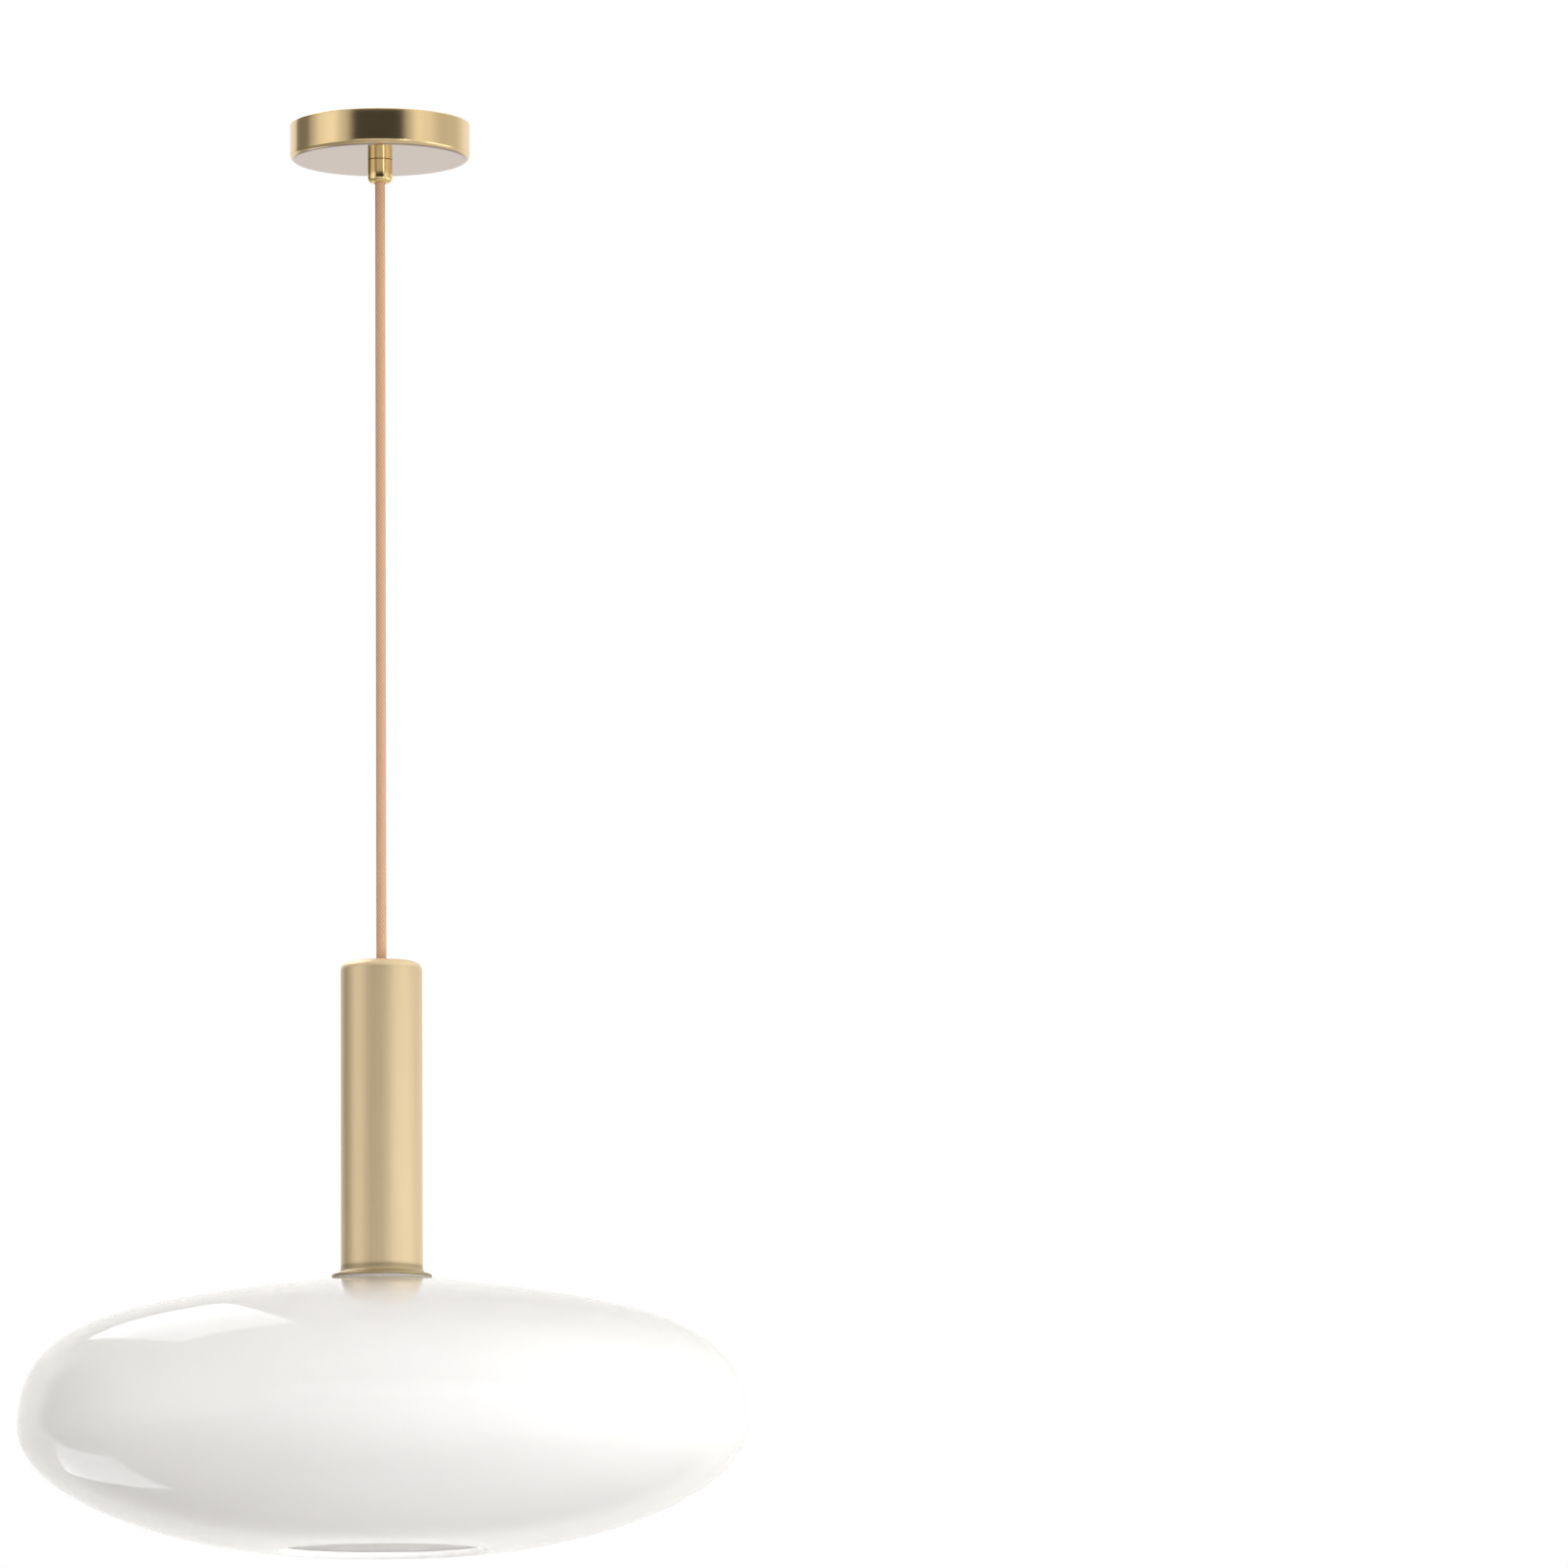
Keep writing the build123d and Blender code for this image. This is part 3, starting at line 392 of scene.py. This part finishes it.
# %% Effect: a braided sleeve
def braid():
    """Two families of helical strands. With a = angle x Strands and p = height / Pitch, the strands are
    the cells of a + p and a - p, and each cell lies over or under by the parity of the two cell numbers."""
    tree, given, out = effect(
        "braid",
        [("Vector", VECTOR), ("Strands", NUMBER), ("Pitch", NUMBER)],
        [("Height", NUMBER), ("Over", NUMBER)],
    )
    split = place(tree, "ShaderNodeSeparateXYZ")
    feed(tree, given.outputs["Vector"], split.inputs[0])
    angle = calc(tree, "ARCTAN2", split.outputs[1], split.outputs[0])
    turn_part = calc(tree, "MULTIPLY", angle, 0.5 / math.pi)
    around = calc(tree, "MULTIPLY", turn_part, given.outputs["Strands"])
    along = calc(tree, "DIVIDE", split.outputs[2], given.outputs["Pitch"])
    crests, cells = [], []
    for operation in ("ADD", "SUBTRACT"):
        course = calc(tree, operation, around, along)
        across = calc(tree, "MULTIPLY", calc(tree, "FRACT", course), math.pi)
        crests.append(calc(tree, "SINE", across))
        cells.append(calc(tree, "FLOOR", course))
    parity = calc(tree, "MODULO", calc(tree, "ABSOLUTE", calc(tree, "ADD", *cells)), 2.0)
    heights = []
    for top, under in (crests, crests[::-1]):
        rounded = calc(tree, "POWER", top, 0.5)
        heights.append(calc(tree, "MULTIPLY", rounded, calc(tree, "MULTIPLY_ADD", under, 0.4, 0.6)))
    pick = place(tree, "ShaderNodeMix")
    for value, socket in zip((parity, *heights), pick.inputs[:1] + pick.inputs[2:4]):
        feed(tree, value, socket)
    feed(tree, pick.outputs[0], out.inputs["Height"])
    feed(tree, parity, out.inputs["Over"])
    return tree


BRAID = braid()
print("group", BRAID.name)

# %% [markdown]
# ## Finishes
# Each finish is one Principled material. What is the same all over the piece is set on the shader's own
# sockets. What changes over the surface comes from the groups above.

# %% Finish helpers
def finish(name, colour, roughness, metallic=0.0, **constants):
    """A Principled material with constants on its sockets. Returns the material, its tree and its shader."""
    material = bpy.data.materials.new(name)
    material.use_nodes = True
    tree = material.node_tree
    shader = tree.nodes["Principled BSDF"]
    shader.inputs["Base Color"].default_value = (*colour, 1.0)
    shader.inputs["Roughness"].default_value = roughness
    shader.inputs["Metallic"].default_value = metallic
    for socket, value in constants.items():
        shader.inputs[socket.replace("_", " ")].default_value = value
    return material, tree, shader


def use(tree, group, **values):
    """Places a shared effect that reads the piece's own coordinates, with its values set."""
    node = place(tree, "ShaderNodeGroup", node_tree=group)
    feed(tree, place(tree, "ShaderNodeTexCoord").outputs["Object"], node.inputs["Vector"])
    for socket, value in values.items():
        node.inputs[socket].default_value = value
    return node


def relief(tree, height, depth, shader):
    """Bumps the surface by a height of 0 to 1 that is worth depth metres."""
    bump = place(tree, "ShaderNodeBump")
    bump.inputs["Distance"].default_value = depth
    feed(tree, height, bump.inputs["Height"])
    feed(tree, bump.outputs[0], shader.inputs["Normal"])


def tone(tree, mask, dark, light, shader):
    """Colours a surface between two tones by a mask."""
    feed(tree, blended(tree, mask, dark, light), shader.inputs["Base Color"])


FINISHES = {}


# %% [markdown]
# ### Brass
# The tube is brushed along its length and lacquered, so bright panels smear sideways into soft bands.
# The canopy is spun: its fine rings run round, and its wall keeps sharper bands. The grip is polished.

# %% Brass finishes
def brushed_brass(cove_z):
    """Pale satin brass with lengthwise hairlines. Below cove_z the foot's cove is coloured darker: painted
    shade in the recess.
    """
    material, tree, shader = finish("brushed_brass", (0.80, 0.67, 0.43), 0.34, 1.0, Coat_Weight=0.12)
    shader.inputs["Coat Roughness"].default_value = 0.25
    hairs = use(tree, BRUSHING, Around=160.0, Along=9.0).outputs["Streak"]
    patch = use(tree, CLOUDING, Scale=14.0).outputs["Patch"]
    hair_mask = span(tree, hairs, (0.3, 0.7), (0.0, 1.0))
    satin = blended(tree, hair_mask, (0.79, 0.62, 0.37), (0.86, 0.70, 0.45))
    spot = place(tree, "ShaderNodeSeparateXYZ")
    feed(tree, place(tree, "ShaderNodeTexCoord").outputs["Object"], spot.inputs[0])
    # Painted shade: the foot's cove, below cove_z, takes a darker brass colour.
    cove = span(tree, spot.outputs[2], (cove_z - 0.001, cove_z + 0.0025), (1.0, 0.0))
    feed(tree, blended(tree, cove, satin, (0.50, 0.40, 0.24)), shader.inputs["Base Color"])
    gloss = calc(tree, "MULTIPLY_ADD", hairs, 0.16, 0.32)
    feed(tree, calc(tree, "MULTIPLY_ADD", patch, 0.08, gloss), shader.inputs["Roughness"])
    relief(tree, hairs, 0.00004, shader)
    return material


def spun_brass(edge_z):
    """Deeper satin brass with fine rings. Its flat underside, below edge_z, is coloured darker and greyer as
    painted shade, and is a little glossier.
    """
    material, tree, shader = finish("canopy_brass", (0.82, 0.63, 0.35), 0.16, 1.0)
    rings = use(tree, BRUSHING, Around=1.2, Along=5200.0).outputs["Streak"]
    patch = use(tree, CLOUDING, Scale=22.0).outputs["Patch"]
    spot = place(tree, "ShaderNodeSeparateXYZ")
    feed(tree, place(tree, "ShaderNodeTexCoord").outputs["Object"], spot.inputs[0])
    # Painted shade: below edge_z the underside takes a darker, greyer colour; the same mask lowers its
    # roughness.
    under = span(tree, spot.outputs[2], (edge_z, edge_z + 0.0006), (1.0, 0.0))
    wall = blended(tree, rings, (0.76, 0.56, 0.29), (0.88, 0.69, 0.40))
    feed(tree, blended(tree, under, wall, (0.43, 0.34, 0.285)), shader.inputs["Base Color"])
    gloss = calc(tree, "MULTIPLY_ADD", rings, 0.10, 0.10)
    gloss = calc(tree, "MULTIPLY_ADD", patch, 0.05, gloss)
    feed(tree, calc(tree, "MULTIPLY_ADD", under, -0.06, gloss), shader.inputs["Roughness"])
    relief(tree, rings, 0.000015, shader)
    return material


def polished_brass():
    """Bright turned brass: a clear mirror with faint turning rings and a few handling clouds."""
    material, tree, shader = finish("polished_brass", (0.90, 0.68, 0.32), 0.07, 1.0)
    rings = use(tree, BRUSHING, Around=0.8, Along=3800.0).outputs["Streak"]
    patch = use(tree, CLOUDING, Scale=60.0).outputs["Patch"]
    gloss = calc(tree, "MULTIPLY_ADD", patch, 0.09, 0.02)
    feed(tree, calc(tree, "MULTIPLY_ADD", rings, 0.04, gloss), shader.inputs["Roughness"])
    relief(tree, rings, 0.000006, shader)
    return material


def contact_brass():
    """Pressed and slightly tarnished brass, for the screws and contacts."""
    material, tree, shader = finish("contact_brass", (0.80, 0.63, 0.34), 0.3, 1.0)
    patch = use(tree, CLOUDING, Scale=180.0).outputs["Patch"]
    tone(tree, patch, (0.58, 0.42, 0.20), (0.86, 0.70, 0.40), shader)
    feed(tree, calc(tree, "MULTIPLY_ADD", patch, 0.25, 0.15), shader.inputs["Roughness"])
    return material


FINISHES["brushed_brass"] = brushed_brass(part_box("tube_cover")[0].z)
FINISHES["canopy_brass"] = spun_brass(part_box("canopy_cup")[0].z + 0.0002)
FINISHES["polished_brass"] = polished_brass()
FINISHES["contact_brass"] = contact_brass()
print("brass finishes", len(FINISHES))

# %% [markdown]
# ### Other metals
# The bracket, stem and nuts are zinc plated, which shows as large pale crystals under a bluish gloss.
# The bulb's cap is rolled aluminium.

# %% Zinc and aluminium
def zinc_steel():
    """Zinc plate: pale patches like crystals, and an uneven gloss."""
    material, tree, shader = finish("zinc_steel", (0.66, 0.67, 0.68), 0.35, 1.0)
    crystals = place(tree, "ShaderNodeTexVoronoi")
    feed(tree, place(tree, "ShaderNodeTexCoord").outputs["Object"], crystals.inputs["Vector"])
    crystals.inputs["Scale"].default_value = 420.0
    mask = place(tree, "ShaderNodeSeparateColor")
    feed(tree, crystals.outputs["Color"], mask.inputs[0])
    tone(tree, mask.outputs[0], (0.56, 0.57, 0.59), (0.74, 0.75, 0.76), shader)
    patch = use(tree, CLOUDING, Scale=90.0).outputs["Patch"]
    gloss = calc(tree, "MULTIPLY_ADD", mask.outputs[0], 0.16, 0.2)
    feed(tree, calc(tree, "MULTIPLY_ADD", patch, 0.12, gloss), shader.inputs["Roughness"])
    return material


def rolled_aluminium():
    """Soft bright metal with rings from rolling."""
    material, tree, shader = finish("bulb_metal", (0.80, 0.80, 0.79), 0.28, 1.0)
    rings = use(tree, BRUSHING, Around=3.0, Along=2600.0).outputs["Streak"]
    feed(tree, calc(tree, "MULTIPLY_ADD", rings, 0.3, 0.14), shader.inputs["Roughness"])
    relief(tree, rings, 0.00002, shader)
    return material


FINISHES["zinc_steel"] = zinc_steel()
FINISHES["bulb_metal"] = rolled_aluminium()
print("metals", len(FINISHES))

# %% [markdown]
# ### Plastics, silicone and wire
# Moulded parts have a fine pebbled skin and a slightly uneven gloss. Silicone is
# dull and grey. The three supply leads follow the usual colour code.

# %% Moulded finishes
def moulded(name, colour, roughness, scale=1500.0, depth=0.00003, **constants):
    """A moulded part: grain in the relief, clouds in the gloss and a faint shift of tone."""
    material, tree, shader = finish(name, colour, roughness, 0.0, **constants)
    height = use(tree, GRAIN, Scale=scale).outputs["Height"]
    patch = use(tree, CLOUDING, Scale=70.0).outputs["Patch"]
    darker = [c * 0.93 for c in colour]
    tone(tree, patch, darker, colour, shader)
    feed(tree, calc(tree, "MULTIPLY_ADD", patch, 0.2, roughness - 0.1), shader.inputs["Roughness"])
    relief(tree, height, depth, shader)
    return material


for name, colour, roughness in (
    ("block_plastic", (0.86, 0.85, 0.80), 0.42),
    ("holder_plastic", (0.87, 0.86, 0.83), 0.38),
    ("nylon", (0.80, 0.77, 0.69), 0.45),
    ("live_wire", (0.16, 0.045, 0.015), 0.36),
    ("neutral_wire", (0.012, 0.06, 0.34), 0.36),
    ("bulb_insulator", (0.012, 0.012, 0.016), 0.18),
    ("bulb_body", (0.85, 0.85, 0.84), 0.34),
):
    FINISHES[name] = moulded(name, colour, roughness)
FINISHES["silicone"] = moulded("silicone", (0.50, 0.47, 0.41), 0.5, 900.0)
# The bulb's own light is what brightens the inside of the shade and its mouth.
glowing = dict(Subsurface_Weight=0.5, Subsurface_Scale=0.003, Emission_Strength=6.0)
FINISHES["bulb_diffuser"] = moulded("bulb_diffuser", (0.90, 0.90, 0.87), 0.4, 2600.0, 0.00001, **glowing)


def striped_wire():
    """The earth lead: green insulation with two yellow stripes that run along it in a long twist."""
    material, tree, shader = finish("earth_wire", (0.10, 0.36, 0.04), 0.36)
    bands = place(tree, "ShaderNodeTexWave", wave_type="BANDS", bands_direction="DIAGONAL")
    feed(tree, place(tree, "ShaderNodeTexCoord").outputs["Object"], bands.inputs["Vector"])
    bands.inputs["Scale"].default_value = 150.0
    stripe = span(tree, bands.outputs[1], (0.45, 0.55), (0.0, 1.0))
    tone(tree, stripe, (0.06, 0.30, 0.03), (0.80, 0.68, 0.03), shader)
    return material


FINISHES["earth_wire"] = striped_wire()
print("finishes so far", len(FINISHES))

# %% [markdown]
# ### Cord and glass
# The cord wears a braided sleeve of satin yarn, so the strands cross over and under. Opal glass is
# milky all through, with a clear glossy skin: light enters it, spreads and comes out softened.

# %% Cord finish
def braided_cord():
    """Peach yarn in a braid of helical strands. Fibre streaks and painted highlight and shade set its tone:
    lighter on the strand crowns, darker in the gaps.
    """
    material, tree, shader = finish("cord_fabric", (0.80, 0.40, 0.19), 0.55, Sheen_Weight=0.25)
    shader.inputs["Sheen Roughness"].default_value = 0.4
    weave = use(tree, BRAID, Strands=10.0, Pitch=0.0030)
    yarn = use(tree, BRUSHING, Around=22.0, Along=2400.0).outputs["Streak"]
    # The tone mixes fibre streaks with painted highlight and shade: lighter strand crowns, darker gaps. The
    # same height is the relief.
    crown = calc(tree, "MULTIPLY_ADD", yarn, 0.35, calc(tree, "MULTIPLY", weave.outputs["Height"], 0.75))
    tone(tree, crown, (0.37, 0.175, 0.08), (0.62, 0.38, 0.235), shader)
    feed(tree, calc(tree, "MULTIPLY_ADD", yarn, 0.2, 0.42), shader.inputs["Roughness"])
    relief(tree, crown, 0.0003, shader)
    return material


FINISHES["cord_fabric"] = braided_cord()


# %% Opal glass finish
def opal_glass():
    """Milky glass with a clear skin. Faint clouds in its tone stand for the uneven white layer."""
    material, tree, shader = finish("opal_glass", (0.90, 0.885, 0.87), 0.045, Subsurface_Weight=1.0)
    shader.inputs["Subsurface Radius"].default_value = (1.0, 1.0, 1.0)
    shader.inputs["Subsurface Scale"].default_value = 0.02
    shader.inputs["IOR"].default_value = 1.48
    patch = use(tree, CLOUDING, Scale=7.0).outputs["Patch"]
    tone(tree, patch, (0.950, 0.918, 0.892), (0.972, 0.946, 0.924), shader)
    feed(tree, calc(tree, "MULTIPLY_ADD", patch, 0.03, 0.03), shader.inputs["Roughness"])
    return material


FINISHES["opal_glass"] = opal_glass()
print("finishes", len(FINISHES))

# %% [markdown]
# ## Turned and blown shells
# The canopy, the grip, the tube, its foot and the shade are all surfaces of revolution, and their gloss
# shows every flat of a coarse mesh. So each is worked out again as a fine shell: a closed profile of
# radius and height is swept round the axis.

# %% Profile and lathe helpers
def arc(centre, radius, start, end, count=10):
    """Points (r, z) = centre + radius (cos t, sin t), with t from start to end in degrees."""
    t = np.radians(np.linspace(start, end, count))
    return np.stack([centre[0] + radius * np.cos(t), centre[1] + radius * np.sin(t)], 1)


def bend(a, b, c, d, count=24):
    """A cubic Bezier: (1-t)^3 a + 3(1-t)^2 t b + 3(1-t) t^2 c + t^3 d, with t from 0 to 1."""
    t = np.linspace(0.0, 1.0, count)[:, None]
    points = [np.array(p, float) for p in (a, b, c, d)]
    shares = ((1 - t) ** 3, 3 * (1 - t) ** 2 * t, 3 * (1 - t) * t**2, t**3)
    return sum(share * point for share, point in zip(shares, points))


def lathe(name, profile, around=192, ripple=None):
    """Sweeps a closed profile of (r, z) round the axis: x = r cos a, y = r sin a. ripple(a, r, z) may give a
    share by which the radius shrinks. Faces point outwards if the profile runs clockwise, so it is
    turned round where the area formula, sum of r dz - z dr, says otherwise."""
    r, z = np.array(profile, float).T
    area = np.sum(r * np.roll(z, -1) - np.roll(r, -1) * z)
    if area < 0:
        r, z = r[::-1], z[::-1]
    a = np.arange(around) * 2 * math.pi / around
    shrink = np.ones((around, len(r))) if ripple is None else 1 - ripple(a[:, None], r[None], z[None])
    grid = np.stack(
        [
            shrink * r * np.cos(a)[:, None],
            shrink * r * np.sin(a)[:, None],
            np.broadcast_to(z, shrink.shape),
        ],
        -1,
    )
    i, j = np.meshgrid(np.arange(around), np.arange(len(r)), indexing="ij")
    i2, j2 = (i + 1) % around, (j + 1) % len(r)
    wide = len(r)
    faces = np.stack([i * wide + j, i2 * wide + j, i2 * wide + j2, i * wide + j2], -1).reshape(-1, 4)
    mesh = bpy.data.meshes.new(name)
    mesh.from_pydata(grid.reshape(-1, 3).tolist(), [], faces.tolist())
    mesh.polygons.foreach_set("use_smooth", np.ones(len(faces), bool))
    mesh.update()
    piece = bpy.data.objects.new(name, mesh)
    bpy.context.scene.collection.objects.link(piece)
    return piece


def crease(piece, degrees=35.0):
    """Keeps real corners sharp: edges that turn by more than the angle are marked sharp."""
    piece.data.set_sharp_from_angle(angle=math.radians(degrees))


def stand_for(piece, body, slot, *cad_nodes):
    """The piece rides on its body, stands for its CAD nodes and takes its finish."""
    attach(piece, body)
    if cad_nodes:
        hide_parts(*cad_nodes)
    piece.data.materials.clear()
    piece.data.materials.append(FINISHES[slot])


flex.data.materials.append(FINISHES["cord_fabric"])
print("helpers ready")

# %% [markdown]
# ### Canopy
# A shallow spun cup, one millimetre thick, with a rounded lower edge and a tiny rolled rim at the top.

# %% Canopy
WALL = 0.001
low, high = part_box("canopy_cup")
canopy_r, canopy_low = high.x, low.z
EDGE_R = 0.003
STEM_HOLE_R = 0.00505
rim = WALL / 2


def canopy_profile():
    """Outer wall, rounded edge, flat underside to the hole, and the same line back on the inside."""
    inner = canopy_r - WALL
    floor_z = canopy_low + WALL
    bend_r = EDGE_R - WALL
    return np.concatenate(
        [
            arc((canopy_r - rim, high.z - rim), rim, 90, 0, 5),
            np.stack([np.full(6, canopy_r), np.linspace(high.z - 0.003, canopy_low + EDGE_R + 0.001, 6)], 1),
            arc((canopy_r - EDGE_R, canopy_low + EDGE_R), EDGE_R, 0, -90, 10),
            np.stack([np.linspace(canopy_r - 0.006, STEM_HOLE_R, 14), np.full(14, canopy_low)], 1),
            np.stack([np.linspace(STEM_HOLE_R, inner - 0.006, 14), np.full(14, floor_z)], 1),
            arc((inner - bend_r, floor_z + bend_r), bend_r, -90, 0, 8),
            np.stack([np.full(5, inner), np.linspace(floor_z + 0.004, high.z - 0.002, 5)], 1),
        ]
    )


canopy = lathe("canopy_shell", canopy_profile(), 256)
crease(canopy)
stand_for(canopy, "ceiling", "canopy_brass", "canopy_cup")
print("canopy triangles", 2 * len(canopy.data.polygons))

# %% [markdown]
# ### Grip
# The grip that holds the cord under the canopy is turned from bar and polished, with a rounded lower edge.
# A polished part shows every flat of a mesh, so it gets a fine turned surface of its own.

# %% Grip
low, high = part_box("cord_grip")
grip_r, grip_low, grip_top = high.x, low.z, high.z
GRIP_EDGE_R = 0.0029
GRIP_BORE_R = 0.00285
GRIP_MOUTH_R = 0.00335
GRIP_MOUTH_H = 0.0029


def grip_profile():
    """The wall, the rounded lower edge, the mouth that lets the cord lean, and the bore up the middle."""
    lip = 0.0003
    edge_z = grip_low + GRIP_EDGE_R
    mouth_top = grip_low + GRIP_MOUTH_H
    return np.concatenate(
        [
            np.array([[GRIP_BORE_R, grip_top], [grip_r - lip, grip_top], [grip_r, grip_top - lip]]),
            np.stack([np.full(10, grip_r), np.linspace(grip_top - 2 * lip, edge_z + lip, 10)], 1),
            arc((grip_r - GRIP_EDGE_R, edge_z), GRIP_EDGE_R, 0, -90, 16),
            arc((GRIP_MOUTH_R + lip, grip_low + lip), lip, 270, 180, 5),
            np.array([[GRIP_MOUTH_R, mouth_top], [GRIP_BORE_R, mouth_top]]),
        ]
    )


grip = lathe("turned_grip", grip_profile(), 160)
crease(grip)
stand_for(grip, "ceiling", "polished_brass", "cord_grip")
print("grip triangles", 2 * len(grip.data.polygons))

# %% [markdown]
# ### Tube and foot
# The tube is closed at the top with a soft rounded edge. At its lower end a short foot flares out in a
# small cove and spreads the clamping force over the glass.

# %% Tube
low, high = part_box("tube_cover")
tube_r, tube_top, tube_low = high.x, high.z, low.z
TOP_EDGE_R = 0.005
TOP_WALL = 0.002
ROD_HOLE_R = 0.00502


def tube_profile():
    """From the hole in the top over the rounded edge and down the wall, then back up on the inside."""
    inner = tube_r - WALL
    inner_edge = TOP_EDGE_R - WALL
    ceiling_z = tube_top - TOP_WALL
    lip = 0.0002
    return np.concatenate(
        [
            arc((ROD_HOLE_R + lip, tube_top - lip), lip, 180, 90, 4),
            np.stack([np.linspace(0.008, tube_r - TOP_EDGE_R - 0.001, 6), np.full(6, tube_top)], 1),
            arc((tube_r - TOP_EDGE_R, tube_top - TOP_EDGE_R), TOP_EDGE_R, 90, 0, 14),
            np.stack([np.full(24, tube_r), np.linspace(tube_top - 0.007, tube_low + 0.002, 24)], 1),
            arc((tube_r - lip, tube_low + lip), lip, 0, -90, 4),
            np.array([[inner, tube_low]]),
            np.stack([np.full(16, inner), np.linspace(tube_low + 0.002, tube_top - 0.007, 16)], 1),
            arc((inner - inner_edge, tube_top - TOP_EDGE_R), inner_edge, 0, 70, 8),
            np.array([[tube_r - TOP_EDGE_R, ceiling_z], [ROD_HOLE_R, ceiling_z]]),
        ]
    )


tube = lathe("tube_shell", tube_profile(), 224)
crease(tube)
stand_for(tube, "lamp_head", "brushed_brass", "tube_cover")
print("tube triangles", 2 * len(tube.data.polygons))

# %% Foot
low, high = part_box("flange_ring")
foot_r, foot_low, spigot_top = high.x, low.z, high.z
FOOT_BORE_R = 0.020
FOOT_EDGE_H = 0.0016
SPIGOT_R = 0.02145


def foot_profile():
    """Down the spigot's bore, out under the foot, round its rim, up the cove and back up the spigot."""
    rim_r = FOOT_EDGE_H * 0.3
    rim_top = foot_low + FOOT_EDGE_H
    return np.concatenate(
        [
            np.array([[SPIGOT_R, spigot_top], [FOOT_BORE_R, spigot_top], [FOOT_BORE_R, foot_low + 0.0003]]),
            np.array([[FOOT_BORE_R + 0.0003, foot_low], [foot_r - 0.003, foot_low]]),
            arc((foot_r - rim_r, foot_low + rim_r), rim_r, -90, 0, 6),
            arc((foot_r - rim_r, rim_top - rim_r), rim_r, 0, 90, 6),
            bend(
                (foot_r - 0.0008, rim_top),
                (tube_r + 0.0017, rim_top),
                (tube_r, rim_top + 0.0014),
                (tube_r, tube_low),
                14,
            ),
            np.array([[SPIGOT_R, tube_low]]),
        ]
    )


foot = lathe("tube_foot", foot_profile(), 224)
crease(foot)
stand_for(foot, "lamp_head", "brushed_brass", "flange_ring")
print("foot triangles", 2 * len(foot.data.polygons))

# %% [markdown]
# ### Shade
# The shade is blown into a mould: a flat seat round the neck hole, a low shoulder, a full rounded rim and
# a shallower underside that ends in a fire-polished bead. Blown glass is never quite true, so its
# radius shrinks and swells by a fraction of a millimetre, in slow waves.

# %% Shade
low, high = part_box("glass_shade")
shade_r, seat_z, lip_low = high.x, high.z, low.z
GLASS_T = 0.003
LIP_R = 0.002
NECK_R = 0.021
SEAT_R = 0.028
MOUTH_R = 0.0565
WAIST_DROP = 0.081  # from the seat down to the widest circle
waist_z = seat_z - WAIST_DROP
RIPPLE = 0.0012
# How far the curves run on from their ends before they turn
SEAT_REACH, SEAT_FALL = 0.110, 0.017
WAIST_RISE, WAIST_FALL = 0.0618, 0.0393
MOUTH_REACH, MOUTH_RISE = 0.0522, 0.0033


def shade_profile():
    """The outside line from neck to mouth, the bead, and the inside line back, a wall's thickness apart."""
    inner_r = shade_r - GLASS_T
    inner_seat = seat_z - GLASS_T
    lip_r = MOUTH_R + LIP_R
    up_in = WAIST_RISE * (WAIST_DROP - GLASS_T) / WAIST_DROP
    fire = 0.0008
    return np.concatenate(
        [
            arc((NECK_R + fire, seat_z - fire), fire, 180, 90, 5),
            bend(
                (SEAT_R, seat_z),
                (SEAT_R + SEAT_REACH, seat_z - SEAT_FALL),
                (shade_r, waist_z + WAIST_RISE),
                (shade_r, waist_z),
                90,
            ),
            bend(
                (shade_r, waist_z),
                (shade_r, waist_z - WAIST_FALL),
                (lip_r + MOUTH_REACH, lip_low + MOUTH_RISE),
                (lip_r, lip_low),
                70,
            )[1:],
            arc((lip_r, lip_low + LIP_R), LIP_R, 270, 90, 14)[1:],
            bend(
                (lip_r, lip_low + 2 * LIP_R),
                (lip_r + MOUTH_REACH, lip_low + MOUTH_RISE + GLASS_T),
                (inner_r, waist_z - WAIST_FALL + GLASS_T),
                (inner_r, waist_z),
                50,
            )[1:],
            bend(
                (inner_r, waist_z),
                (inner_r, waist_z + up_in),
                (SEAT_R + SEAT_REACH, inner_seat - SEAT_FALL),
                (SEAT_R, inner_seat),
                60,
            )[1:],
            np.array([[NECK_R, inner_seat]]),
        ]
    )


def blown(a, r, z):
    """Slow waves round and down the glass, from 0 to RIPPLE, fading out at the neck and the mouth."""
    wave = np.sin(2 * a + 0.6) + 0.6 * np.sin(3 * a + 26 * z + 1.1) + 0.35 * np.sin(5 * a - 40 * z)
    body = np.clip((r - MOUTH_R) / (shade_r - MOUTH_R), 0.0, 1.0) * np.clip((r - SEAT_R) / 0.05, 0.0, 1.0)
    return RIPPLE * (0.5 + wave / 3.9) * body


shade = lathe("opal_shade", shade_profile(), 288, blown)
crease(shade, 50.0)
stand_for(shade, "shade", "opal_glass", "glass_shade")
print("shade triangles", 2 * len(shade.data.polygons))

# %% [markdown]
# ## Parts that keep their engineering shape
# The bracket, terminal block, leads, lampholder, ring and bulb are right as they are, so they only
# take their finishes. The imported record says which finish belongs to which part.

# %% Finishes for the carried-over parts
for entry in frame["record"]["subparts"]:
    carried = nodes[entry["node"]]
    carried.data.materials.clear()
    carried.data.materials.append(FINISHES[entry["material_slot"]])
print("carried parts", sum(not o.hide_render for o in nodes.values()))
